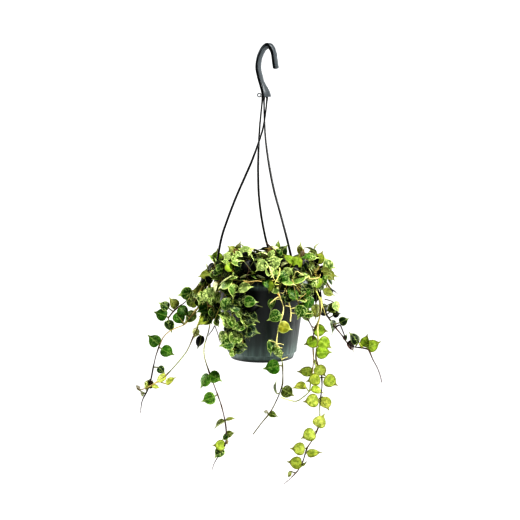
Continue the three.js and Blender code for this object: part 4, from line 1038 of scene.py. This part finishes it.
def fill_crown(growth, stems, count):
    """Leaves all round the mound and inside it, on stalks from the nearest stem. A third of them
    roof its middle."""
    draw = growth.draw
    for i in range(count):
        turn, rise = draw.uniform(0, 2 * math.pi), draw.uniform(*MOUND_RISES)
        front = math.sin(turn) < FRONT
        if i % 3:
            reach = draw.uniform(*(FRONT_REACH if front else SIDE_REACH))
            out = Vector((math.cos(turn) * math.cos(rise), math.sin(turn) * math.cos(rise), math.sin(rise)))
            size = MOUND if rise > 0 else (*MOUND[:2], MOUND_BELOW)
            middle = Vector((POT_X, 0, POT_TOP + MOUND_RAISED))
            base = middle + Vector([a * b for a, b in zip(out, size)]) * reach
        else:
            reach = ROOF_RADIUS * math.sqrt(draw.random())
            side = Vector((math.cos(turn) * reach, math.sin(turn) * reach, 0))
            out = (side * ROOF_SPREAD + Vector((0, 0, 1))).normalized()
            base = Vector((POT_X, 0, POT_TOP + draw.uniform(*ROOF_HEIGHTS) * MM)) + side
        if rise < 0 and i % 3 and (front or math.hypot(base.x - POT_X, base.y) < WALL_RADIUS):
            continue
        if rises_over_crown(base, FILL_BELOW):
            continue
        # The upper face looks outward and a little up, and the tip hangs
        lean = Vector([draw.gauss(0, 0.45) for _ in range(3)])
        up = (out + Vector((0, 0, 0.4)) + lean).normalized()
        side = Vector([draw.gauss(0, 1) for _ in range(3)])
        forward = side + out * 0.6 - Vector((0, 0, 0.5))
        forward = (forward - up * forward.dot(up)).normalized()
        length = draw.uniform(*FILL_LENGTHS) * MM
        start, tint = nearest(stems, base)
        growth.add_petiole(start, base, forward, up, length, tint)
        # Leaves at the front take near-black tones, painted shade
        growth.add_leaf(base, forward, up, length, draw.choice(SHADE_TONES if front else HIDDEN_TONES))


def grow_pieces(plan, own_tones=None, extra=None):
    """Grows each named piece of the plan from its CAD nodes. Leaves are those read off the photo
    or, with own_tones, those of the solids."""
    forms = bpy.data.collections.new("leaf_forms")
    bpy.context.scene.collection.children.link(forms)
    for i, shape in enumerate(LEAF_FORMS):
        forms.objects.link(leaf_form(f"form_{i}", *shape))
    bark = bpy.data.materials.get("Hoya stem") or stem_bark()
    skin = bpy.data.materials.get("Waxy hoya leaf") or leaf_skin()
    tree = growth_tree(bark, skin, forms)
    for name, nodes in plan.items():
        growth, stems = Growth(name), []
        for node in nodes:
            stem = grow_stem(growth, node)
            for leaf in SEEN_LEAVES.get(node, ()):
                grow_seen_leaf(growth, stem, leaf)
            # Dense vines' own leaves take near-black tones, painted shade
            if own_tones or node in DENSE_VINES:
                grow_own_leaves(growth, node, stem, own_tones or SHADE_TONES)
            if node in DENSE_VINES:
                scatter_leaves(growth, stem, SEEN_LEAVES[node], DENSE_VINES[node])
            grow_twigs(growth, node, stem)
            stems += stem
        if extra:
            extra(growth, [s for s in stems if s[0].z > SOIL_TOP])
        finish_piece(growth.build(tree), nodes)
    for form in list(forms.objects):
        bpy.data.objects.remove(form)
    bpy.data.collections.remove(forms)


# Settings

class HoyaPot(bpy.types.PropertyGroup):
    colour: FloatVectorProperty(name="Pot Colour", description="Colour of the pot's plastic", subtype="COLOR",
                                size=3, min=0, max=1, default=linear("0b1413"))
    rim_radius: FloatProperty(name="Rim Radius", description="Outer radius of the rim", unit="LENGTH",
                              default=70 * MM)
    segments: IntProperty(name="Segments", description="Steps round the pot", default=96, min=24)
    # The hanger is black plastic: this grey is a painted sheen that stands for the light on it
    hanger_sheen_colour: FloatVectorProperty(name="Hanger Sheen Colour", description="Grey painted on the hanger's black plastic as its sheen",
                                       subtype="COLOR", size=3, min=0, max=1, default=linear("45494b"))
    strand_colour: FloatVectorProperty(name="Strand Colour", description="Colour of the thin strands",
                                       subtype="COLOR", size=3, min=0, max=1, default=linear("050606"))
    strand_radius: FloatProperty(name="Strand Radius", description="Half the thickness of the strands",
                                 unit="LENGTH", default=1.45 * MM)
    crumbs: IntProperty(name="Soil Crumbs", description="Crumbs on each square centimetre of soil", default=6)


class HoyaPlant(bpy.types.PropertyGroup):
    stem_sides: IntProperty(name="Stem Sides", description="Sides of each stem", default=7, min=3)
    stem_scale: FloatProperty(name="Stem Scale", description="Thickness of the stems against the photo's",
                              subtype="FACTOR", default=1.0, min=0.2, max=2)
    leaf_scale: FloatProperty(name="Leaf Scale", description="Size of the leaves against the photo's",
                              subtype="FACTOR", default=1.0, min=0.2, max=2)
    filling: IntProperty(name="Filling Leaves", description="Leaves that thicken the crown", default=280)
    scattered: IntProperty(name="Scattered Leaves", description="Small leaves among the crown's front ones",
                           default=110)


class HoyaStage(bpy.types.PropertyGroup):
    floor_height: FloatProperty(name="Floor Height", description="Height of the floor", unit="LENGTH",
                                default=-1.1)
    key_power: FloatProperty(name="Key Light", description="Power of the main light", unit="POWER",
                             default=60.0)
    sky: FloatProperty(name="Sky", description="Strength of the even light from all round", default=0.14)


# Pot

# Radii in mm of the circles of pin holes and drain holes, and of the holes
PIN_CIRCLE, PIN_HOLE = 66.9, 1.3
PIN_TURNS = (195, 315, 75)
DRAIN_CIRCLE, DRAIN_HOLE, DRAIN_COUNT = 28, 4, 6
SHARP_EDGE = math.radians(40)


class HOYA_OT_pot(bpy.types.Operator):
    """Turns the pot's wall, rim and foot and cuts its holes"""
    bl_idname = "hoya.pot"
    bl_label = "Pot"

    def execute(self, context):
        settings = context.scene.hoya_pot
        rim = settings.rim_radius / MM
        profile = [
            (0, 3), (38.7, 3), (41.2, 0.6), (41.8, 0), (44.4, 0), (45.4, 0.6), (45.9, 1.6), (48.1, 8.5),
            (48.7, 9.3), (50, 9.5), (50.5, 10), (64.8, 118), (65.2, 118.6), (rim - 1.8, 118.6),
            (rim - 1.2, 118), (rim - 1.2, 107.4), (rim - 0.9, 107), (rim - 0.3, 107), (rim, 107.4),
            (rim, 118.6), (rim - 0.4, 119.5), (rim - 1.3, 120), (65.6, 120), (64.2, 119.7), (63.7, 119),
            (49.5, 11.2), (47, 9.6), (44.8, 4.6), (44, 4.2), (0, 4.2)]
        pot = new_object("pot_shell", mesh_of("pot_shell", lathe(profile, settings.segments)))
        holes = [self.plug(PIN_HOLE, 100, 130, 16, PIN_CIRCLE, turn) for turn in PIN_TURNS]
        holes += [self.plug(DRAIN_HOLE, -5, 8, 24, DRAIN_CIRCLE, 360 * k / DRAIN_COUNT)
                  for k in range(DRAIN_COUNT)]
        cutter = new_object("pot_holes", mesh_of("pot_holes", *holes))
        cut = pot.modifiers.new("Holes", "BOOLEAN")
        cut.object, cut.solver = cutter, "EXACT"
        apply_modifiers(pot)
        pot.data.set_sharp_from_angle(angle=SHARP_EDGE)
        bpy.data.objects.remove(cutter)
        # Its paler bands by height are painted highlights and reflections, with painted shade left under the
        # skirt and round the foot
        slate = moulded_plastic("Slate polypropylene", settings.colour, roughness=0.36, painted_light=PAINTED_LIGHT_BY_HEIGHT)
        finish_piece(pot, ["pot"], slate)
        return {"FINISHED"}

    def plug(self, radius, low, high, segments, circle, turn):
        """What a hole takes out of the pot, on a circle round its axis."""
        turn = math.radians(turn)
        return lathe([(0, low), (radius, low), (radius, high), (0, high)], segments,
                     POT_X + circle * MM * math.cos(turn), circle * MM * math.sin(turn))


# Hanger. The hook is a moulded bar with a groove that faces front left, from its boss to its tip.

HOOK_PATH = [(-5.2, 0, -69.4), (-5.6, 0, -66), (-6.8, 0, -60), (-9.6, 0, -50), (-12.6, 0, -39),
             (-14.7, 0, -27), (-13.0, 0, -14), (-8.6, 0, -3.4), (-4.6, 0, 1.6), (-0.8, 0, 3.6), (3.0, 0, 1.9),
             (6.2, 0, -3.2), (7.9, 0, -9.5), (9.0, 0, -18), (10.2, 0, -26.3), (10.5, 0, -29.6)]
HOOK_STEPS = 5
GROOVE_FACES = Vector((-0.77, -0.64, 0))
# Sizes of the last sections before the tip, and the sections from it where the groove runs out
NOSE = (0.3, 0.68, 0.86, 0.96, 1.0)
GROOVE_RUNS_OUT = (1.5, 5)
# The shank flares into the boss between these depths in mm, by these shares across and deep
FLARE_BETWEEN = (47, 67)
FLARE_ACROSS, FLARE_DEEP = 0.75, 0.4
FLARE = 1.35
# The label eye beside the boss, in mm
EYE_PLACE, EYE_RADIUS, EYE_WIRE = (-13.3, 0, -66.6), 2.5, 0.75
# Half profile of the clip at a strand's end, in mm from the pot's top: disc, pin and barb
CLIP = [(0, -4), (0.5, -4), (1.6, -1.6), (1, -1.45), (1, 0.05), (2.3, 0.05), (2.5, 0.25), (2.5, 1.05),
        (2.3, 1.25), (0, 1.25)]
# The strands' paths, in mm. Each is thick where it leaves the boss, drawn thin above and thicker
# again below: shares of its radius, and the depths between which it thickens
STRAND_ROOT, STRAND_THIN, STRAND_GAIN = 1.6, 0.8, 0.3
THICKENS_BETWEEN = (115, 165)
STRANDS = [
    [(-2.7, -1.1, -68), (-2.5, -1.1, -76), (-7.2, -2.4, -110), (-13.9, -3.9, -133), (-23.8, -6.1, -160),
     (-33.8, -8.4, -183), (-47, -11.3, -213), (-58.6, -13.9, -243), (-67, -15.8, -268), (-72.6, -17, -296),
     (-74, -17.3, -312), (-74.02, -17.3, -326.6)],
    [(-6.7, 4, -68), (-6.5, 3.6, -76), (-5.8, 0.8, -104), (-3.9, -4.8, -133), (1, -14.2, -168),
     (7.6, -24.3, -201), (15.2, -32.3, -229), (22.5, -39.2, -256), (28.4, -43.8, -279), (32.9, -46.4, -299),
     (36.8, -47.2, -314), (37.9, -47.3, -326.6)],
    [(-8.5, -2.9, -68), (-9.2, -2.4, -76), (-12.6, 2.5, -111), (-14.4, 13, -146), (-15, 25.5, -179),
     (-13.9, 39.2, -213), (-10.5, 49.8, -243), (-6.5, 57, -266), (-2, 61.6, -286), (5.4, 64.1, -310),
     (7.91, 64.6, -326.6)],
]


def hook_section(groove):
    """Outline of the bar in mm, towards the groove's side and across, for a groove from 0 to 1."""
    floor = 3.4 - 4.2 * groove
    half = [(floor, 2.1), (3.4, 2.25), (3.4, 2.6), (2.9, 3.2), (2.2, 3.45), (-2.2, 3.45), (-3.1, 3.1),
            (-3.45, 2.2)]
    return half + [(a, -b) for a, b in reversed(half)]


def hook_shell():
    """Points and faces of the hook, with its sections set square to its path."""
    path = smooth_path(HOOK_PATH, HOOK_STEPS)
    points, sections = [], []
    for i, place in enumerate(path):
        tangent = (path[min(i + 1, len(path) - 1)] - path[max(i - 1, 0)]).normalized()
        groove = (GROOVE_FACES - tangent * GROOVE_FACES.dot(tangent)).normalized()
        across = tangent.cross(groove)
        left = len(path) - 1 - i
        scale = NOSE[min(left, len(NOSE) - 1)]
        flare = FLARE * ease(-place.z, *FLARE_BETWEEN)
        row = []
        for a, b in hook_section(ease(left, *GROOVE_RUNS_OUT)):
            offset = (groove * a + across * b) * scale
            if offset.x > 0:
                offset.x *= 1 + FLARE_ACROSS * flare
            offset.y *= 1 + FLARE_DEEP * flare
            row.append(len(points))
            points.append((place + offset) * MM)
        sections.append(row)
    count = len(sections[0])
    faces = [(a[k], a[(k + 1) % count], b[(k + 1) % count], b[k])
             for a, b in zip(sections, sections[1:]) for k in range(count)]
    return points, faces + [sections[0], sections[-1]]


def ring_shell(centre, radius, wire, around=24, section=8):
    """A ring that faces the viewer, in mm."""
    points, faces = [], []
    for i in range(around):
        turn = 2 * math.pi * i / around
        out = Vector((math.cos(turn), 0, math.sin(turn)))
        for k in range(section):
            tilt = 2 * math.pi * k / section
            points.append((Vector(centre) + out * (radius + wire * math.cos(tilt))
                           + Vector((0, wire * math.sin(tilt), 0))) * MM)
            a, b = i * section, (i + 1) % around * section
            faces.append((a + k, b + k, b + (k + 1) % section, a + (k + 1) % section))
    return points, faces


class HOYA_OT_hanger(bpy.types.Operator):
    """Sweeps the hook, its label eye and the strands, and sets the clips in the rim"""
    bl_idname = "hoya.hanger"
    bl_label = "Hanger"

    def execute(self, context):
        settings = context.scene.hoya_pot
        # The hook's grey is a painted sheen on black plastic
        sheen_grey = moulded_plastic("Grey polypropylene", settings.hanger_sheen_colour, roughness=0.34)
        black = moulded_plastic("Black polypropylene", settings.strand_colour, roughness=0.4)
        shells = [hook_shell(), ring_shell(EYE_PLACE, EYE_RADIUS, EYE_WIRE)]
        shells += [lathe(CLIP, 20, strand[-1][0] * MM, strand[-1][1] * MM, POT_TOP) for strand in STRANDS]
        hook = new_object("hook_and_clips", mesh_of("hook_and_clips", *shells, sharp=32))
        finish_piece(hook, ["hanger"], sheen_grey)

        points, edges, widths = [], [], []
        for strand in STRANDS:
            for i, point in enumerate(strand):
                if i:
                    edges.append((len(points) - 1, len(points)))
                points.append(Vector(point) * MM)
                share = STRAND_THIN + STRAND_GAIN * ease(-point[2], *THICKENS_BETWEEN) if i else STRAND_ROOT
                widths.append(settings.strand_radius * share)
        mesh = bpy.data.meshes.new("strands")
        mesh.from_pydata(points, edges, [])
        mesh.attributes.new("width", "FLOAT", "POINT").data.foreach_set("value", widths)
        strands = new_object("strands", mesh)
        tree, node, given = new_tree("Sweep strands", Sides=10, Smoothness=8, Scale=1.0)
        bars = sweep(node, given["Geometry"], given["Sides"], given["Smoothness"], given["Scale"], black)
        node("NodeGroupOutput", Geometry=bars)
        run_tree(strands, tree)
        finish_piece(strands)
        return {"FINISHED"}


# Soil

# How far in mm the soil's top falls to its edge, and how lumpy it is. Its foot, with its radius in
# metres, rests on the pot's floor.
SOIL_RINGS, SOIL_SPOKES = 14, 56
SOIL_FALL, SOIL_LUMPS = 1.5, 2.4
SOIL_FOOT_RADIUS = 0.0437


class HOYA_OT_soil(bpy.types.Operator):
    """Fills the pot with lumpy potting mix and strews crumbs on it"""
    bl_idname = "hoya.soil"
    bl_label = "Soil"

    def execute(self, context):
        draw = random.Random("soil")
        low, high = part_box("soil")
        radius = (high.x - low.x) / 2
        spokes = [2 * math.pi * k / SOIL_SPOKES for k in range(SOIL_SPOKES)]
        points, faces = [(POT_X, 0, high.z)], []
        for r in range(1, SOIL_RINGS + 1):
            out = r / SOIL_RINGS
            for turn in spokes:
                drop = SOIL_FALL * out ** 2 + (draw.uniform(0, SOIL_LUMPS) if r < SOIL_RINGS else 0)
                points.append((POT_X + radius * out * math.cos(turn), radius * out * math.sin(turn),
                               high.z - drop * MM))
        foot = len(points)
        points += [(POT_X + SOIL_FOOT_RADIUS * math.cos(turn), SOIL_FOOT_RADIUS * math.sin(turn), low.z)
                   for turn in spokes]
        for k in range(SOIL_SPOKES):
            j = (k + 1) % SOIL_SPOKES
            faces.append((0, 1 + k, 1 + j))
            for r in range(SOIL_RINGS):
                a, b = 1 + r * SOIL_SPOKES, 1 + (r + 1) * SOIL_SPOKES
                faces.append((a + k, b + k, b + j, a + j))
        faces.append(range(foot, foot + SOIL_SPOKES))
        mix = potting_mix()
        soil = new_object("potting_mix", mesh_of("potting_mix", (points, faces)))

        tree, node, given = new_tree("Strew crumbs", Crumbs=600.0, Crumb_Size=1.3 * MM, Seed=5)
        normal = node("GeometryNodeInputNormal")
        upward = node("ShaderNodeSeparateXYZ", Vector=normal).outputs[2]
        level = node("ShaderNodeMath", operation="GREATER_THAN", _0=upward, _1=0.3)
        spots = node("GeometryNodeDistributePointsOnFaces", Mesh=given["Geometry"], Selection=level,
                     Density=given["Crumbs"], Seed=given["Seed"])
        crumb = node("GeometryNodeMeshIcoSphere", Radius=given["Crumb Size"], Subdivisions=1)
        size = node("FunctionNodeRandomValue", data_type="FLOAT_VECTOR", _0=(0.4, 0.5, 0.3),
                    _1=(1.5, 1.2, 0.9), Seed=given["Seed"])
        turn = node("FunctionNodeRandomValue", data_type="FLOAT_VECTOR", _1=(6.28, 6.28, 6.28),
                    Seed=given["Seed"])
        strewn = node("GeometryNodeInstanceOnPoints", Points=spots, Instance=crumb, Rotation=turn, Scale=size)
        solid = node("GeometryNodeRealizeInstances", Geometry=strewn)
        both = node("GeometryNodeJoinGeometry")
        for part in (solid.outputs[0], given["Geometry"]):
            tree.links.new(part, both.inputs[0])
        peat = node("GeometryNodeSetMaterial", Geometry=both, Material=mix)
        node("NodeGroupOutput", Geometry=peat)
        run_tree(soil, tree, Crumbs=context.scene.hoya_pot.crumbs * 1e4)
        finish_piece(soil, ["soil"])
        return {"FINISHED"}


# Plant

class HOYA_OT_trailing_vines(bpy.types.Operator):
    """Grows the long vines in front of and beside the pot, each as a piece of its own"""
    bl_idname = "hoya.trailing_vines"
    bl_label = "Trailing Vines"

    def execute(self, context):
        grow_pieces({node.removeprefix("vine_") + "_vine": [node] for node in sorted(SEEN_LEAVES)})
        return {"FINISHED"}


class HOYA_OT_crown(bpy.types.Operator):
    """Grows the mound of short stems above the pot"""
    bl_idname = "hoya.crown"
    bl_label = "Crown"

    def execute(self, context):
        def thicken(growth, stems):
            for leaf in CROWN_LEAVES:
                px, py, pixels, angle, roll, tone, layer, dip = (*leaf, 0)[:8]
                roll, dip = roll + growth.draw.gauss(*ADDED_ROLL), dip + growth.draw.gauss(*ADDED_DIP)
                leaf = (px, py, pixels, angle, roll, tone, dip)
                grow_seen_leaf(growth, stems, leaf, crown_depth(px, py, layer))
            for width, tone, pixels in CROWN_TWIGS:
                places = [seen_at(*pixel, crown_depth(*pixel, CROWN_TWIG_LAYER)) for pixel in pixels]
                grow_twig(growth, width, tone, joined_to(stems, places))
            settings = context.scene.hoya_plant
            scatter_leaves(growth, stems, CROWN_LEAVES, settings.scattered, in_crown=True)
            fill_crown(growth, stems, settings.filling)

        nodes = [name for name in PLANTS if name.startswith("vine_crown")]
        grow_pieces({"crown_growth": nodes}, HIDDEN_TONES, thicken)
        return {"FINISHED"}


class HOYA_OT_back_vines(bpy.types.Operator):
    """Grows the short vines behind the pot"""
    bl_idname = "hoya.back_vines"
    bl_label = "Back Vines"

    def execute(self, context):
        nodes = [name for name in PLANTS if name.startswith("vine_back")]
        grow_pieces({"back_growth": nodes}, HIDDEN_TONES)
        return {"FINISHED"}


# Stage

# The backdrop's sweep bends up with a radius of 1 m from this far behind the plant
SWEEP_Y, SWEEP_STEPS = 2.6, 12
STAGE_HALF_WIDTH, STAGE_BACK = 4.0, 3.6
# Softboxes: place, width and height in metres, and share of the key light's power
LIGHTS = {
    "key": ((0.95, -1.3, 1.0), (0.45, 0.45), 1.0), "fill": ((-1.5, -1.3, 0.3), (1.0, 1.4), 0.1),
    "left_strip": ((-1.1, 0.5, -0.2), (0.25, 1.4), 0.3), "right_strip": ((1.1, 0.6, -0.2), (0.25, 1.4), 0.3),
}


class HOYA_OT_stage(bpy.types.Operator):
    """Sets up the floor, lights and camera"""
    bl_idname = "hoya.stage"
    bl_label = "Stage"

    def execute(self, context):
        scene = context.scene
        settings = scene.hoya_stage
        low = settings.floor_height
        lifted = low + 0.01
        curve = [(SWEEP_Y + math.sin(bend), lifted + 1 - math.cos(bend))
                 for bend in (math.pi / 2 * k / SWEEP_STEPS for k in range(SWEEP_STEPS + 1))]
        for name, profile, colour, glow in (
                ("studio_floor", [(-6.0, low), (STAGE_BACK, low)], "f0f0f0", 0.0),
                ("studio_backdrop", [(1.1, lifted), *curve, (STAGE_BACK, 3.5)], "808080", 0.58)):
            points = [(x, y, z) for x in (-STAGE_HALF_WIDTH, STAGE_HALF_WIDTH) for y, z in profile]
            n = len(profile)
            mesh = bpy.data.meshes.new(name)
            mesh.from_pydata(points, [], [(i, i + n, i + n + 1, i + 1) for i in range(n - 1)])
            mesh.shade_smooth()
            mesh.materials.append(studio_paper(name.replace("_", " ").capitalize(), colour, glow))
            new_object(name, mesh)

        scene.world = bpy.data.worlds.new("Studio")
        scene.world.use_nodes = True
        scene.world.node_tree.nodes["Background"].inputs["Color"].default_value = (1, 1, 1, 1)
        scene.world.node_tree.nodes["Background"].inputs["Strength"].default_value = settings.sky
        middle = Vector((POT_X, 0, -0.35))
        for name, (place, size, share) in LIGHTS.items():
            data = bpy.data.lights.new(name, "AREA")
            data.shape, data.size, data.size_y = "RECTANGLE", *size
            data.energy = share * settings.key_power
            lamp = new_object(name, data)
            lamp.location = place
            lamp.rotation_euler = (middle - Vector(place)).to_track_quat("-Z", "Y").to_euler()

        data = bpy.data.cameras.new("camera")
        data.sensor_width, data.lens = CAMERA_SENSOR, CAMERA_LENS
        camera = new_object("camera", data)
        camera.location = CAMERA_PLACE
        camera.rotation_euler = (math.pi / 2 - CAMERA_PITCH, 0, 0)
        scene.camera = camera
        scene.view_settings.view_transform = "Standard"
        scene.view_settings.look = "Very High Contrast"
        return {"FINISHED"}


class HOYA_PT_panel(bpy.types.Panel):
    """Lists the settings and the pieces"""
    bl_label = "Hoya in a Hanging Pot"
    bl_space_type = "VIEW_3D"
    bl_region_type = "UI"
    bl_category = "Hoya"

    def draw(self, context):
        for name, group in GROUPS.items():
            for key in group.__annotations__:
                self.layout.prop(getattr(context.scene, name), key)
        for operator in OPERATORS:
            self.layout.operator(operator.bl_idname)


OPERATORS = (HOYA_OT_stage, HOYA_OT_pot, HOYA_OT_hanger, HOYA_OT_soil, HOYA_OT_trailing_vines, HOYA_OT_crown,
             HOYA_OT_back_vines)
GROUPS = {"hoya_pot": HoyaPot, "hoya_plant": HoyaPlant, "hoya_stage": HoyaStage}


def register():
    for cls in (*GROUPS.values(), *OPERATORS, HOYA_PT_panel):
        bpy.utils.register_class(cls)
    for name, group in GROUPS.items():
        setattr(bpy.types.Scene, name, PointerProperty(type=group))


def unregister():
    for name in GROUPS:
        delattr(bpy.types.Scene, name)
    for cls in reversed((*GROUPS.values(), *OPERATORS, HOYA_PT_panel)):
        bpy.utils.unregister_class(cls)


def main():
    register()
    bpy.ops.hoya.stage()
    bpy.ops.hoya.pot()
    bpy.ops.hoya.hanger()
    bpy.ops.hoya.soil()
    bpy.ops.hoya.trailing_vines()
    bpy.ops.hoya.crown()
    bpy.ops.hoya.back_vines()


if __name__ == "__main__":
    main()
